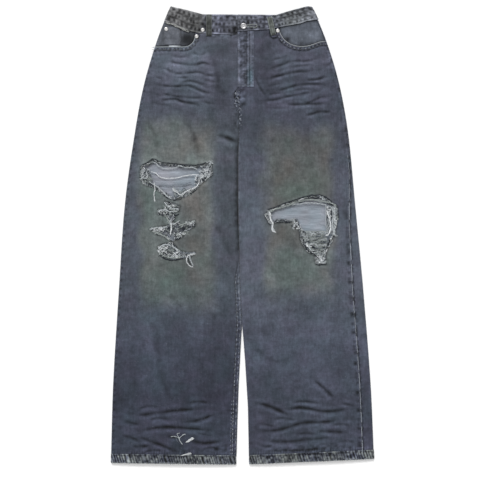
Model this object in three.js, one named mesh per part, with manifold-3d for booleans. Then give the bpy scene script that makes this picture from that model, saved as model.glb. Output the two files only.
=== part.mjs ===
import * as THREE from 'three';
import Module from 'manifold-3d';
import { mergeVertices } from 'three/addons/utils/BufferGeometryUtils.js';

// Ripped five-pocket jeans with wide straight legs, laid flat with the front up.
// Millimetres. X runs across, Y up the legs to the waist, Z up out of the front.
// The origin is at the middle of the outline, on the surface that the jeans lie on.
// Right and left are the wearer's, so the right leg is on the -X side.

// Driving dimensions.
const HALF_LENGTH = 547;
const CROTCH_Y = 243;
const LEG_SPLIT_Y = -213;
const WAIST_BAND_THICKNESS = 2.6;
const HEM_HEIGHT = 22;
const HEM_THICKNESS = 2.6;
const CLOTH = 1.2;
const GAP = 0.3;
const LAYER = CLOTH + GAP;
const SIDE_CLEARANCE = 0.6;
const SINK = 0.4;

// Cutting prisms run well past every edge, from below the backs to above the front.
const OVERRUN = 40;
const CUT_LENGTH = 700;
const CUT_SIDE = 300;
const CUT_LOW = -20;
const CUT_HIGH = 60;
const RIP_FLOOR = 1.6;

// Height of the front's outer face above the surface.
const LEG_EDGE_HEIGHT = 4.2;
const WAIST_EDGE_HEIGHT = 7.8;
const HEM_EDGE_HEIGHT = 2 * HEM_THICKNESS + GAP;
const CROWN_HEIGHT = 2.6;
const LOWEST_FRONT = 3.1;
const FOLD_RADIUS = 3;
const FOLD_DROP = 1.2;

// Where the pieces at the waist and seat lie.
const FLY_EDGE_X = -12;
const FLY_WIDTH = 39.5;
const FLY_BOTTOM_Y = 354.5;
const CENTRE_FRONT_X = -9;
const LAP_END_X = 20;
const CENTRE_BACK_X = -9;
const YOKE_DEPTH_CENTRE = 72;
const YOKE_DEPTH_SIDE = 36;
const BACK_POCKET = { centreX: 115, halfWidth: 75, top: 392, side: 262, point: 236 };
const FACING_DROP = 2 * CLOTH + GAP + 0.2;
const FACING_BOTTOM_Y = 436;
const FACING_TURN_Y = 452;
const RIGHT_FACING_END = -97;
const LEFT_FACING_START = 78;
const BUTTON_RADIUS = 7.2;
const RIVET_RADIUS = 4.8;

const clamp = (value, low, high) => Math.min(Math.max(value, low), high);
const lerp = (from, to, part) => from + (to - from) * part;

function smoothStep(from, to, value) {
  const part = clamp((value - from) / (to - from), 0, 1);
  return part * part * (3 - 2 * part);
}

// Interpolates a value through [place, value] points that are in order of falling place.
function along(points, smooth = false) {
  const slopeAt = (index) => {
    const before = points[Math.max(index - 1, 0)];
    const after = points[Math.min(index + 1, points.length - 1)];
    return (after[1] - before[1]) / (after[0] - before[0]);
  };
  return (place) => {
    let index = 0;
    while (index < points.length - 2 && place < points[index + 1][0]) {
      index += 1;
    }
    const [start, from] = points[index];
    const [end, to] = points[index + 1];
    const part = clamp((place - start) / (end - start), 0, 1);
    if (!smooth) {
      return lerp(from, to, part);
    }
    const length = end - start;
    const square = part * part;
    const cube = square * part;
    return from * (2 * cube - 3 * square + 1) + slopeAt(index) * length * (cube - 2 * square + part)
      + to * (3 * square - 2 * cube) + slopeAt(index + 1) * length * (cube - square);
  };
}

// Outline and seams: X against Y, from the waist down to the hems.
const rightOutline = along([[547, -172], [472, -202], [362, -235], [247, -257], [75, -281],
  [-125, -295], [-355, -309], [-547, -314.5]], true);
const leftOutline = along([[547, 166.5], [459, 202], [362, 231], [247, 252], [75, 269],
  [-125, 288], [-355, 306], [-547, 314.5]], true);
const rightInnerEdge = along([[CROTCH_Y, -8.5], [190, -11], [75, -11], [-107, -6.5],
  [LEG_SPLIT_Y, -1.5], [-240, -3], [-355, -9], [-441, -12], [-547, -15]]);
const leftInnerEdge = along([[CROTCH_Y, -7.5], [190, -10], [75, -10], [-107, -5.5],
  [LEG_SPLIT_Y, -0.5], [-240, 1.5], [-298, 6], [-412, 13], [-547, 15.5]]);
const inseamWidth = 12;
const outseamWidth = along([[300, 3], [245, 5], [145, 7], [25, 18], [-130, 25], [-547, 26]]);
const centreSeam = along([[520, CENTRE_FRONT_X], [FLY_BOTTOM_Y, CENTRE_FRONT_X], [341, -18.5],
  [312, -18.5], [296, -9], [CROTCH_Y, -8]]);
const rightFrontSeam = (y) => (y > CROTCH_Y
  ? centreSeam(y) - GAP
  : rightInnerEdge(y) - lerp(inseamWidth, LAYER, smoothStep(-115, -45, y)));
const leftFrontSeam = (y) => (y > CROTCH_Y ? centreSeam(y) : leftInnerEdge(y));
const outseam = (y) => leftOutline(y) - outseamWidth(y);
const rightHemLine = (x) => -HALF_LENGTH - x / 80;
const leftHemLine = (x) => -HALF_LENGTH + x / 23;

// Lower edges of the waistband and its top edge: Y against X, from the left side to the right side.
const leftBandSeam = along([[182, 515.5], [154, 511.5], [137, 505.5], [95, 498], [60, 491],
  [FLY_EDGE_X, 487]]);
const rightBandSeam = along([[LAP_END_X, 488], [-11.5, 488], [-13.5, 478], [-101, 482],
  [-125, 487.5], [-149, 493.5], [-164, 503], [-187, 512]]);
const backBandSeam = along([[182, 515.5], [154, 511.5], [137, 505.5], [95, 498], [-90, 486],
  [-125, 487.5], [-149, 493.5], [-164, 503], [-187, 512]]);
const bandTop = along([[166.5, 546], [154, 547], [111, 535.5], [80, 526], [-95, 527.5],
  [-135, 538.5], [-172, 547]]);
const BAND_SEAM_ENDS = [-187, 182];
const BAND_TOP_ENDS = [-172, 166.5];
const yokeSeam = (x) => {
  const part = clamp(Math.abs(x - CENTRE_BACK_X) / 200, 0, 1);
  return 488 - lerp(YOKE_DEPTH_CENTRE, YOKE_DEPTH_SIDE, part);
};

// The largest folds, as soft troughs along lines of [x, y] points.
const FOLD_DEPTH = 1.3;
const FOLD_REACH = 8;
const FOLDS = [
  [[-180, 419], [-132, 408], [-93, 412], [-66, 403]],
  [[-196, 402], [-160, 387], [-105, 390], [-66, 380]],
  [[-211, 361], [-160, 356], [-129, 358], [-87, 342], [-66, 340]],
  [[-199, 324], [-145, 320], [-99, 308]],
  [[53, 396], [99, 409], [156, 417], [190, 429]],
  [[53, 373], [110, 387], [185, 395]],
  [[71, 341], [131, 359], [204, 357]],
  [[44, 322], [103, 330], [193, 347]],
  [[158, 288], [186, 296], [211, 295]],
  [[-243, -430], [-149, -417], [-91, -414]],
  [[-243, -466], [-134, -460], [-73, -466]],
  [[-247, -481], [-152, -516]],
  [[101, -417], [199, -420], [253, -414]],
  [[37, -469], [141, -448], [244, -439]],
  [[55, -490], [159, -487], [244, -478]],
  [[10, -243], [46, -283], [101, -304]],
  [[171, -344], [220, -390]],
];

function distanceToLine(x, y, line) {
  let nearest = Infinity;
  for (let index = 0; index + 1 < line.length; index += 1) {
    const [startX, startY] = line[index];
    const [endX, endY] = line[index + 1];
    const lengthX = endX - startX;
    const lengthY = endY - startY;
    const along01 = ((x - startX) * lengthX + (y - startY) * lengthY) / (lengthX ** 2 + lengthY ** 2);
    const part = clamp(along01, 0, 1);
    nearest = Math.min(nearest, Math.hypot(x - startX - part * lengthX, y - startY - part * lengthY));
  }
  return nearest;
}

// 0 at both edges of a stretch and 1 in its middle, with a flat top.
function crown(x, low, high) {
  const part = clamp((x - low) / (high - low), 0, 1);
  return 1 - Math.abs(2 * part - 1) ** 3;
}

// The outer face of the front: low at the folded edges, crowned between them, with its folds.
function frontHeight(x, y) {
  const outer = Math.min(x - rightOutline(y), leftOutline(y) - x);
  const onRight = x < (rightInnerEdge(y) + leftInnerEdge(y)) / 2;
  const inner = onRight ? rightInnerEdge(y) - x : x - leftInnerEdge(y);
  const edge = y < CROTCH_Y ? Math.min(outer, inner) : outer;
  const hips = smoothStep(CROTCH_Y - 60, CROTCH_Y + 60, y);
  const oneLeg = onRight
    ? crown(x, rightOutline(y), rightInnerEdge(y))
    : crown(x, leftInnerEdge(y), leftOutline(y));
  const bothLegs = crown(x, rightOutline(y), leftOutline(y));
  const base = LEG_EDGE_HEIGHT
    + (WAIST_EDGE_HEIGHT - LEG_EDGE_HEIGHT) * smoothStep(330, 430, y)
    + (HEM_EDGE_HEIGHT - LEG_EDGE_HEIGHT) * (1 - smoothStep(-520, -460, y));
  let height = base + CROWN_HEIGHT * lerp(oneLeg, bothLegs, hips);
  for (const line of FOLDS) {
    height -= FOLD_DEPTH * Math.exp(-((distanceToLine(x, y, line) / FOLD_REACH) ** 2));
  }
  const drop = FOLD_DROP * clamp(1 - edge / FOLD_RADIUS, 0, 1);
  return Math.max(height, LOWEST_FRONT) - Math.min(drop, FOLD_DROP);
}

const wasm = await Module();
wasm.setup();

function solidFrom(positions, indices) {
  return new wasm.Manifold(new wasm.Mesh({
    numProp: 3,
    vertProperties: new Float32Array(positions),
    triVerts: new Uint32Array(indices),
  }));
}

// A closed body between a lower and an upper face. rows[r][c] is [x, y, low, high].
function slab(rows) {
  const columns = rows[0].length;
  const positions = [];
  for (const [x, y, low, high] of rows.flat()) {
    positions.push(x, y, low, x, y, high);
  }
  const indices = [];
  const quad = (a, b, c, d) => indices.push(a, b, c, a, c, d);
  const lowAt = (row, column) => 2 * (row * columns + column);
  const highAt = (row, column) => lowAt(row, column) + 1;
  const lastRow = rows.length - 1;
  const lastColumn = columns - 1;
  for (let row = 0; row < lastRow; row += 1) {
    for (let column = 0; column < lastColumn; column += 1) {
      quad(highAt(row, column), highAt(row, column + 1), highAt(row + 1, column + 1),
        highAt(row + 1, column));
      quad(lowAt(row, column), lowAt(row + 1, column), lowAt(row + 1, column + 1),
        lowAt(row, column + 1));
    }
    quad(lowAt(row, 0), highAt(row, 0), highAt(row + 1, 0), lowAt(row + 1, 0));
    quad(lowAt(row, lastColumn), lowAt(row + 1, lastColumn), highAt(row + 1, lastColumn),
      highAt(row, lastColumn));
  }
  for (let column = 0; column < lastColumn; column += 1) {
    quad(lowAt(0, column), lowAt(0, column + 1), highAt(0, column + 1), highAt(0, column));
    quad(lowAt(lastRow, column), highAt(lastRow, column), highAt(lastRow, column + 1),
      lowAt(lastRow, column + 1));
  }
  return solidFrom(positions, indices);
}

function solidOf(geometry) {
  geometry.deleteAttribute('normal');
  geometry.deleteAttribute('uv');
  const merged = mergeVertices(geometry, 1e-4);
  return solidFrom(merged.attributes.position.array, merged.index.array);
}

// An upright prism on an outline of [x, y] points.
function prism(outline, low, high) {
  const shape = new THREE.Shape(outline.map(([x, y]) => new THREE.Vector2(x, y)));
  const geometry = new THREE.ExtrudeGeometry(shape, { depth: high - low, bevelEnabled: false });
  geometry.translate(0, 0, low);
  return solidOf(geometry);
}

function disc(radius, x, y, low, thickness, sides = 20) {
  const geometry = new THREE.CylinderGeometry(radius, radius, thickness, sides);
  geometry.rotateX(Math.PI / 2);
  geometry.translate(x, y, low + thickness / 2);
  return solidOf(geometry);
}

const join = (...solids) => solids.reduce((whole, solid) => whole.add(solid));
const cut = (solid, ...cutters) => cutters.reduce((rest, cutter) => rest.subtract(cutter), solid);

function steps(from, to, spacing) {
  const count = Math.max(1, Math.round((to - from) / spacing));
  return Array.from({ length: count + 1 }, (_, index) => lerp(from, to, index / count));
}

// Rows are close together where the folds are.
const LEG_ROWS = [
  ...steps(-HALF_LENGTH, -393, 15.4),
  ...steps(-393, CROTCH_Y, 42).slice(1),
  ...steps(CROTCH_Y + 1, 432, 14.5),
  ...steps(432, 530, 24.5).slice(1),
];

// A layer that follows the front, from one edge to another. drop moves it down into the stack.
function frontLayer(rows, fromEdge, toEdge, columns, drop = 0, thickness = CLOTH) {
  const wide = rows.every((y) => toEdge(y) - fromEdge(y) > 4 * FOLD_RADIUS);
  return slab(rows.map((y) => {
    const from = fromEdge(y);
    const to = toEdge(y);
    const inside = Array.from({ length: columns - 1 }, (_, index) => (
      lerp(from, to, (index + 1) / columns)));
    const places = [from, ...inside, to];
    if (wide) {
      places.splice(1, 0, from + FOLD_RADIUS);
      places.splice(places.length - 1, 0, to - FOLD_RADIUS);
    }
    return places.map((x) => {
      const high = frontHeight(x, y) - drop;
      return [x, y, high - thickness, high];
    });
  }));
}

// The upright turn of a layer at a folded edge. side is 1 where the leg lies on its +X side.
function foldedWall(rows, edge, side, drop = 0) {
  return slab(rows.map((y) => {
    const outside = edge(y);
    const inside = outside + side * CLOTH;
    const top = frontHeight(outside, y) - drop - SINK;
    return [Math.min(outside, inside), Math.max(outside, inside)].map((x) => [x, y, 0, top]);
  }));
}

// Prisms that trim the panels along the waistband, the hems and the yoke seams.
// Each one reaches sideways from low to high.
function belowLine(line, low, high) {
  const edge = [high, low].map((x) => [x, line(x)]);
  return prism([...edge, [low, -CUT_LENGTH], [high, -CUT_LENGTH]], CUT_LOW, CUT_HIGH);
}

function aboveBreaks(breaks, line, low, high) {
  const inner = breaks.map((x) => [x, line(x) - GAP]);
  const first = [low, inner[0][1]];
  const last = [high, inner[inner.length - 1][1]];
  return prism([first, ...inner, last, [high, CUT_LENGTH], [low, CUT_LENGTH]], CUT_LOW, CUT_HIGH);
}

const RIGHT_SEAM_BREAKS = [-187, -164, -149, -125, -101, -13.5];
const LEFT_SEAM_BREAKS = [FLY_EDGE_X, 60, 95, 137, 154, 182];
const BACK_SEAM_BREAKS = [-187, -164, -149, -125, -90, 95, 137, 154, 182];
const overRightBandSeam = aboveBreaks(RIGHT_SEAM_BREAKS, rightBandSeam, -CUT_SIDE,
  CENTRE_FRONT_X + OVERRUN);
const overLeftBandSeam = aboveBreaks(LEFT_SEAM_BREAKS, leftBandSeam, CENTRE_FRONT_X - OVERRUN,
  CUT_SIDE);
const overBackBandSeam = aboveBreaks(BACK_SEAM_BREAKS, backBandSeam, -CUT_SIDE, CUT_SIDE);
const underRightHem = belowLine((x) => rightHemLine(x) + HEM_HEIGHT + GAP, -CUT_LENGTH, 0);
const underLeftHem = belowLine((x) => leftHemLine(x) + HEM_HEIGHT + GAP, 0, CUT_LENGTH);

// Front pocket openings, from the waistband round to the side.
const RIGHT_POCKET_MOUTH = [[-113, 478], [-115, 467], [-122, 457], [-136, 450.5], [-178, 450.5],
  [-240, 449.5]];
const LEFT_POCKET_MOUTH = [[86, 492], [93, 477], [101, 466], [116, 456], [137, 451], [158, 453],
  [176, 459], [192, 463], [240, 461]];
function overPocketMouth(mouth) {
  const nearX = mouth[0][0];
  const farX = mouth[mouth.length - 1][0];
  return prism([...mouth, [farX, CUT_LENGTH], [nearX, CUT_LENGTH]], CUT_LOW, CUT_HIGH);
}

// Rips through the leg fronts.
const RIGHT_RIPS = [
  [[-243, 136], [-240, 165], [-211, 179], [-193, 171], [-152, 168], [-111, 165], [-75, 170],
    [-73, 144], [-97, 127], [-141, 91], [-171, 86], [-196, 105], [-234, 124]],
  [[-185, 82], [-151, 70], [-152, 58], [-171, 56], [-159, 44], [-171, 36], [-178, 47],
    [-201, 51], [-201, 61], [-180, 63]],
  [[-220, 14], [-178, 22], [-168, 29], [-154, 29], [-144, 22], [-115, 34], [-114, 22],
    [-135, 10], [-149, -5], [-168, -12], [-185, -4]],
  [[-202, -28], [-190, -22], [-168, -19], [-154, -34], [-114, -40], [-126, -51],
    [-168, -55], [-197, -44]],
];
const LEFT_RIPS = [
  [[54, 50], [69, 61], [115, 77], [162, 92], [190, 92], [225, 69], [228, 45], [217, -2],
    [198, -43], [198, -67], [176, -67], [173, -48], [151, -35], [140, -15], [137, 9],
    [124, 33], [77, 32], [66, 26]],
];
const ripCutters = (rips) => rips.map((outline) => prism([...outline].reverse(), RIP_FLOOR, CUT_HIGH));

// Leg fronts.
const CROTCH_ROWS = LEG_ROWS.filter((y) => y <= CROTCH_Y);

function rightFrontPanel() {
  const sheet = frontLayer(LEG_ROWS, rightOutline, rightFrontSeam, 7);
  const outerWall = foldedWall(LEG_ROWS, rightOutline, 1);
  return cut(join(sheet, outerWall), overRightBandSeam, underRightHem,
    overPocketMouth(RIGHT_POCKET_MOUTH), ...ripCutters(RIGHT_RIPS));
}

function leftFrontPanel() {
  const edge = (y) => outseam(y) - GAP;
  const sheet = frontLayer(LEG_ROWS, leftFrontSeam, edge, 7);
  const innerWall = foldedWall(CROTCH_ROWS, leftInnerEdge, 1);
  return cut(join(sheet, innerWall), overLeftBandSeam, underLeftHem,
    overPocketMouth(LEFT_POCKET_MOUTH), ...ripCutters(LEFT_RIPS));
}

// Backs lie flat on the surface and lift over the patch pockets, which lie under them.
const POCKET_RAMP = 12;
const POCKET_MARGIN = 1;
const BACK_ROWS = [
  ...steps(-HALF_LENGTH, 200, 50),
  BACK_POCKET.point - POCKET_MARGIN - POCKET_RAMP,
  BACK_POCKET.point - POCKET_MARGIN,
  CROTCH_Y + GAP,
  CROTCH_Y + 2,
  300,
  BACK_POCKET.top + POCKET_MARGIN,
  BACK_POCKET.top + POCKET_MARGIN + POCKET_RAMP,
  460,
];

function pocketLift(x, y, side) {
  const across = Math.abs(x - side * BACK_POCKET.centreX) - BACK_POCKET.halfWidth - POCKET_MARGIN;
  const down = Math.max(BACK_POCKET.point - POCKET_MARGIN - y, y - BACK_POCKET.top - POCKET_MARGIN);
  return LAYER * clamp(1 - Math.max(across, down) / POCKET_RAMP, 0, 1);
}

function backSheet(fromEdge, toEdge, side) {
  const reach = BACK_POCKET.halfWidth + POCKET_MARGIN;
  const middle = side * BACK_POCKET.centreX;
  const inside = [middle - reach - POCKET_RAMP, middle - reach, middle + reach,
    middle + reach + POCKET_RAMP];
  return slab(BACK_ROWS.map((y) => [fromEdge(y), ...inside, toEdge(y)].map((x) => {
    const lift = pocketLift(x, y, side);
    return [x, y, lift, lift + CLOTH];
  })));
}

const YOKE_BREAKS = [-CUT_SIDE, CENTRE_BACK_X - 200, CENTRE_BACK_X, CENTRE_BACK_X + 200, CUT_SIDE];
const yokeEdge = (gap) => YOKE_BREAKS.map((x) => [x, yokeSeam(x) + gap]);
const overYokeSeam = prism([...yokeEdge(-GAP / 2), [CUT_SIDE, CUT_LENGTH],
  [-CUT_SIDE, CUT_LENGTH]], CUT_LOW, CUT_HIGH);
const underYokeSeam = prism([...yokeEdge(GAP / 2).reverse(), [-CUT_SIDE, -CUT_LENGTH],
  [CUT_SIDE, -CUT_LENGTH]], CUT_LOW, CUT_HIGH);

const rightBackStart = (y) => rightOutline(y) + CLOTH + SIDE_CLEARANCE;
const rightBackEnd = (y) => (y > CROTCH_Y + 1
  ? CENTRE_BACK_X - GAP
  : rightInnerEdge(y) - CLOTH - SIDE_CLEARANCE);
const leftBackStart = (y) => (y > CROTCH_Y + 1
  ? CENTRE_BACK_X
  : leftInnerEdge(y) + CLOTH + SIDE_CLEARANCE);
const leftBackEnd = (y) => leftOutline(y) - CLOTH - SIDE_CLEARANCE;

function rightBackPanel() {
  return cut(backSheet(rightBackStart, rightBackEnd, -1), underRightHem, overYokeSeam);
}

function leftBackPanel() {
  return cut(backSheet(leftBackStart, leftBackEnd, 1), underLeftHem, overYokeSeam);
}

// Each back turns up round one edge of its leg and over the front to the seam. The turns are
// solids of their own, so that each one keeps a simple shape.
function rightBackTurn() {
  const wall = foldedWall(CROTCH_ROWS, rightInnerEdge, -1);
  const turnStart = (y) => rightFrontSeam(y) + GAP;
  const turn = frontLayer(CROTCH_ROWS.slice(0, -1), turnStart, rightInnerEdge, 2);
  return cut(join(wall, turn), underRightHem);
}

function leftBackTurn() {
  const wall = foldedWall(LEG_ROWS, leftOutline, -1);
  const turn = frontLayer(LEG_ROWS, outseam, leftOutline, 2);
  return cut(join(wall, turn), underLeftHem, overLeftBandSeam);
}

// Yokes rise at the top, because the back belt loops lie under the waistband.
function yokeSheet(fromEdge, toEdge) {
  const rows = [400, 440, 465, 480, 530];
  const parts = [0, 0.25, 0.5, 0.75, 1];
  return slab(rows.map((y) => parts.map((part) => {
    const x = lerp(fromEdge(y), toEdge(y), part);
    const lift = LAYER * smoothStep(455, 480, y);
    return [x, y, lift, lift + CLOTH];
  })));
}

function rightYoke() {
  const sheet = yokeSheet(rightBackStart, () => CENTRE_BACK_X - GAP);
  return cut(sheet, underYokeSeam, overBackBandSeam);
}

function leftYoke() {
  const sheet = yokeSheet(() => CENTRE_BACK_X, leftBackEnd);
  return cut(sheet, underYokeSeam, overBackBandSeam);
}

function backPocket(side) {
  const { centreX, halfWidth, top, side: sideY, point } = BACK_POCKET;
  const outline = [[-halfWidth, sideY], [0, point], [halfWidth, sideY], [halfWidth, top],
    [-halfWidth, top]];
  return prism(outline.map(([x, y]) => [x + side * centreX, y]), 0, CLOTH);
}

// Waistband: one strip round the back, both sides and the front, lapped at the fly.
const BAND_UNDERSIDE = LAYER;
const LAP_RAISE = 1.5;
const bandHeight = (x) => WAIST_EDGE_HEIGHT + CROWN_HEIGHT * crown(x, -187, 182)
  + LAP_RAISE * smoothStep(-40, -20, x) * (1 - smoothStep(40, 70, x));

function bandRows(places, seam, lowAt, highAt) {
  const rowAt = (part) => places.map((x) => {
    const across = (x - BAND_SEAM_ENDS[0]) / (BAND_SEAM_ENDS[1] - BAND_SEAM_ENDS[0]);
    const topX = lerp(BAND_TOP_ENDS[0], BAND_TOP_ENDS[1], across);
    return [lerp(x, topX, part), lerp(seam(x), bandTop(topX), part), lowAt(x), highAt(x)];
  });
  return [rowAt(0), rowAt(0.5), rowAt(1)];
}

function bandWall(x, seam, side) {
  const places = [x, x + side * WAIST_BAND_THICKNESS].sort((a, b) => a - b);
  const top = bandHeight(x) - SINK;
  return slab(bandRows(places, seam, () => BAND_UNDERSIDE, () => top));
}

function waistband() {
  const backTop = BAND_UNDERSIDE + WAIST_BAND_THICKNESS;
  const back = slab(bandRows([...BACK_SEAM_BREAKS, -40, 20].sort((a, b) => a - b), backBandSeam,
    () => BAND_UNDERSIDE, () => backTop));
  const lapDrop = (x) => (WAIST_BAND_THICKNESS + GAP) * (1 - smoothStep(-12.5, -26, x));
  const rightPlaces = [...RIGHT_SEAM_BREAKS, -70, -40, -26, -20, -12.5, LAP_END_X].sort((a, b) => a - b);
  const rightTop = (x) => bandHeight(x) - lapDrop(x);
  const right = slab(bandRows(rightPlaces, rightBandSeam,
    (x) => rightTop(x) - WAIST_BAND_THICKNESS, rightTop));
  const leftPlaces = [...LEFT_SEAM_BREAKS, 10, 30, 45, 75, 115].sort((a, b) => a - b);
  const left = slab(bandRows(leftPlaces, leftBandSeam,
    (x) => bandHeight(x) - WAIST_BAND_THICKNESS, bandHeight));
  return join(back, right, left, bandWall(BAND_SEAM_ENDS[0], rightBandSeam, 1),
    bandWall(BAND_SEAM_ENDS[1], leftBandSeam, -1));
}

// Fly: the placket lies on both fronts, and the shield lies under them.
function flyPlacket() {
  const rows = [FLY_BOTTOM_Y, ...LEG_ROWS.filter((y) => y > FLY_BOTTOM_Y + 5 && y < 520)];
  const start = () => FLY_EDGE_X;
  const end = () => FLY_EDGE_X + FLY_WIDTH;
  return cut(frontLayer(rows, start, end, 4, -LAYER), overLeftBandSeam);
}

function flyShield() {
  const rows = steps(362, 474, 28);
  return frontLayer(rows, () => -26, () => 22, 3, LAYER);
}

// Facings show in the pocket openings and run on under the fronts.
const SHOWN_FACING_ROWS = [FACING_TURN_Y, ...LEG_ROWS.filter((y) => y > FACING_TURN_Y)];

function rightPocketFacing() {
  const end = () => RIGHT_FACING_END;
  const hidden = frontLayer([FACING_BOTTOM_Y, FACING_TURN_Y], rightBackStart, end, 4, FACING_DROP);
  const shown = frontLayer(SHOWN_FACING_ROWS, rightOutline, end, 4, FACING_DROP);
  const wall = foldedWall(SHOWN_FACING_ROWS, rightOutline, 1, FACING_DROP - 1);
  return cut(join(hidden, shown, wall), overRightBandSeam);
}

function leftPocketFacing() {
  const rows = [FACING_BOTTOM_Y, ...SHOWN_FACING_ROWS];
  const edge = (y) => outseam(y) - GAP;
  return cut(frontLayer(rows, () => LEFT_FACING_START, edge, 4, FACING_DROP), overLeftBandSeam);
}

function coinPocket() {
  const rows = [454.5, 470, 497.5];
  return cut(frontLayer(rows, () => -188, () => -146, 3, FACING_DROP - LAYER), overRightBandSeam);
}

function rightPocketBag() {
  return frontLayer([441, 453.5], () => -176, () => -148, 2, CLOTH + GAP, 1);
}

// Hems: one flattened ring a leg, from its edge on the -X side to its edge on the +X side.
const HEM_CROWN = 1.2;

function hem(startEdge, endEdge, line) {
  const startY = line(startEdge(-HALF_LENGTH));
  const endY = line(endEdge(-HALF_LENGTH));
  const rowAt = (rise, places) => places.map((part) => {
    const x = lerp(startEdge(startY + rise), endEdge(endY + rise), part);
    return [x, line(x) + rise];
  });
  const across = [0, 0.15, 0.3, 0.5, 0.7, 0.85, 1];
  const layer = (heights) => slab([0, HEM_HEIGHT].map((rise) => (
    rowAt(rise, across).map(([x, y], index) => [x, y, ...heights(across[index])]))));
  const top = (part) => HEM_EDGE_HEIGHT + HEM_CROWN * crown(part, 0, 1);
  const front = layer((part) => [top(part) - HEM_THICKNESS, top(part)]);
  const back = layer(() => [0, HEM_THICKNESS]);
  const wall = (start, end) => slab([0, HEM_HEIGHT].map((rise) => (
    rowAt(rise, [start, end]).map(([x, y]) => [x, y, 0, HEM_EDGE_HEIGHT]))));
  const wallPart = HEM_THICKNESS / (endEdge(endY) - startEdge(startY));
  return join(front, back, wall(0, wallPart), wall(1 - wallPart, 1));
}

// Belt loops: the front ones lie on the waistband, the back ones under it.
function frontLoop(topX, topY, bottomX, bottomY, width) {
  const parts = [0, 0.2, 0.24, 0.6, 1];
  return slab(parts.map((part) => {
    const x = lerp(bottomX, topX, part);
    const y = lerp(bottomY, topY, part);
    const low = bandHeight(x) + GAP;
    return [x - width / 2, x + width / 2].map((place) => [place, y, low, low + CLOTH]);
  }));
}

function backLoop(x) {
  const halfWidth = 6.5;
  const low = backBandSeam(x) + 2;
  const high = Math.min(bandTop(x - halfWidth), bandTop(x + halfWidth)) - 2;
  return prism([[x - halfWidth, low], [x + halfWidth, low], [x + halfWidth, high],
    [x - halfWidth, high]], 0, CLOTH);
}

// Hardware: a ring-faced button on the lap, and domed rivets at the pocket corners.
function waistButton() {
  const x = 2.5;
  const y = 499;
  const seat = bandHeight(x) + GAP;
  const rimWidth = 2.2;
  return join(disc(BUTTON_RADIUS, x, y, seat, 2),
    disc(BUTTON_RADIUS - rimWidth, x, y, seat + 1.5, 1.2));
}

function rivet(x, y, seat) {
  const sides = 12;
  const flange = disc(RIVET_RADIUS, x, y, seat, 0.8, sides);
  return join(flange, disc(RIVET_RADIUS - 1.6, x, y, seat + 0.5, 0.9, sides));
}

const denim = new THREE.MeshStandardMaterial({ color: 0x565c6b, roughness: 0.93, metalness: 0 });
const darkDenim = new THREE.MeshStandardMaterial({ color: 0x43464f, roughness: 0.94, metalness: 0 });
const paleCloth = new THREE.MeshStandardMaterial({ color: 0xc8ccd2, roughness: 0.95, metalness: 0 });
const silver = new THREE.MeshStandardMaterial({ color: 0xb9b9bb, roughness: 0.35, metalness: 0.9 });

const jeans = new THREE.Group();

function add(name, solid, material) {
  const { vertProperties, triVerts } = solid.getMesh();
  const geometry = new THREE.BufferGeometry();
  geometry.setAttribute('position', new THREE.BufferAttribute(vertProperties, 3));
  geometry.setIndex(new THREE.BufferAttribute(triVerts, 1));
  const mesh = new THREE.Mesh(geometry, material);
  mesh.name = name;
  jeans.add(mesh);
}

add('right_front_panel', rightFrontPanel(), denim);
add('left_front_panel', leftFrontPanel(), denim);
add('right_back_panel', rightBackPanel(), denim);
add('left_back_panel', leftBackPanel(), denim);
add('right_back_turn', rightBackTurn(), denim);
add('left_back_turn', leftBackTurn(), denim);
add('right_yoke', rightYoke(), denim);
add('left_yoke', leftYoke(), denim);
add('right_back_pocket', backPocket(-1), denim);
add('left_back_pocket', backPocket(1), denim);
add('waistband', waistband(), darkDenim);
add('fly_placket', flyPlacket(), denim);
add('fly_shield', flyShield(), darkDenim);
add('right_pocket_facing', rightPocketFacing(), denim);
add('left_pocket_facing', leftPocketFacing(), denim);
add('coin_pocket', coinPocket(), denim);
add('right_pocket_bag', rightPocketBag(), paleCloth);
add('right_hem', hem(rightOutline, rightInnerEdge, rightHemLine), denim);
add('left_hem', hem(leftInnerEdge, leftOutline, leftHemLine), denim);
add('belt_loop_front_right', frontLoop(-80, 527, -80, 474, 14), darkDenim);
add('belt_loop_front_left', frontLoop(64, 521, 74, 478, 12), darkDenim);
add('belt_loop_back_right', backLoop(-130), darkDenim);
add('belt_loop_back_centre', backLoop(CENTRE_BACK_X), darkDenim);
add('belt_loop_back_left', backLoop(115), darkDenim);
add('waist_button', waistButton(), silver);
add('rivet_coin_pocket', rivet(-182, 492.5, frontHeight(-182, 492.5) - 1), silver);
add('rivet_pocket_right', rivet(-109.5, 474.5, frontHeight(-109.5, 474.5) + GAP), silver);
add('rivet_loop_right', rivet(-95, 490, bandHeight(-95) + GAP), silver);
add('rivet_pocket_left', rivet(84, 488, frontHeight(84, 488) + GAP), silver);

export default jeans;
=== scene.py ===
import math

import bpy
import numpy as np
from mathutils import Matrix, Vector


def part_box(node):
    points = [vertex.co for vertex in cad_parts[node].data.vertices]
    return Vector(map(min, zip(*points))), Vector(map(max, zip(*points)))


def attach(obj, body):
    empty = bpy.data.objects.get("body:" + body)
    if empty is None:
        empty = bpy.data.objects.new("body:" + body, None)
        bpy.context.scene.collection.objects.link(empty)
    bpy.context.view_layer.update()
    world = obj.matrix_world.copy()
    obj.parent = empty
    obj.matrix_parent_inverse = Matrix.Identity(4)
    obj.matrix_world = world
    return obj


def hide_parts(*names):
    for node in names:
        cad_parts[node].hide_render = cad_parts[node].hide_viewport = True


# Ripped five-pocket jeans with wide straight legs, laid flat with the front up.
# Shapes are worked out in millimetres, in the frame's axes, and made in metres.
# Right and left are the wearer's: the right leg is on the -X side.

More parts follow.
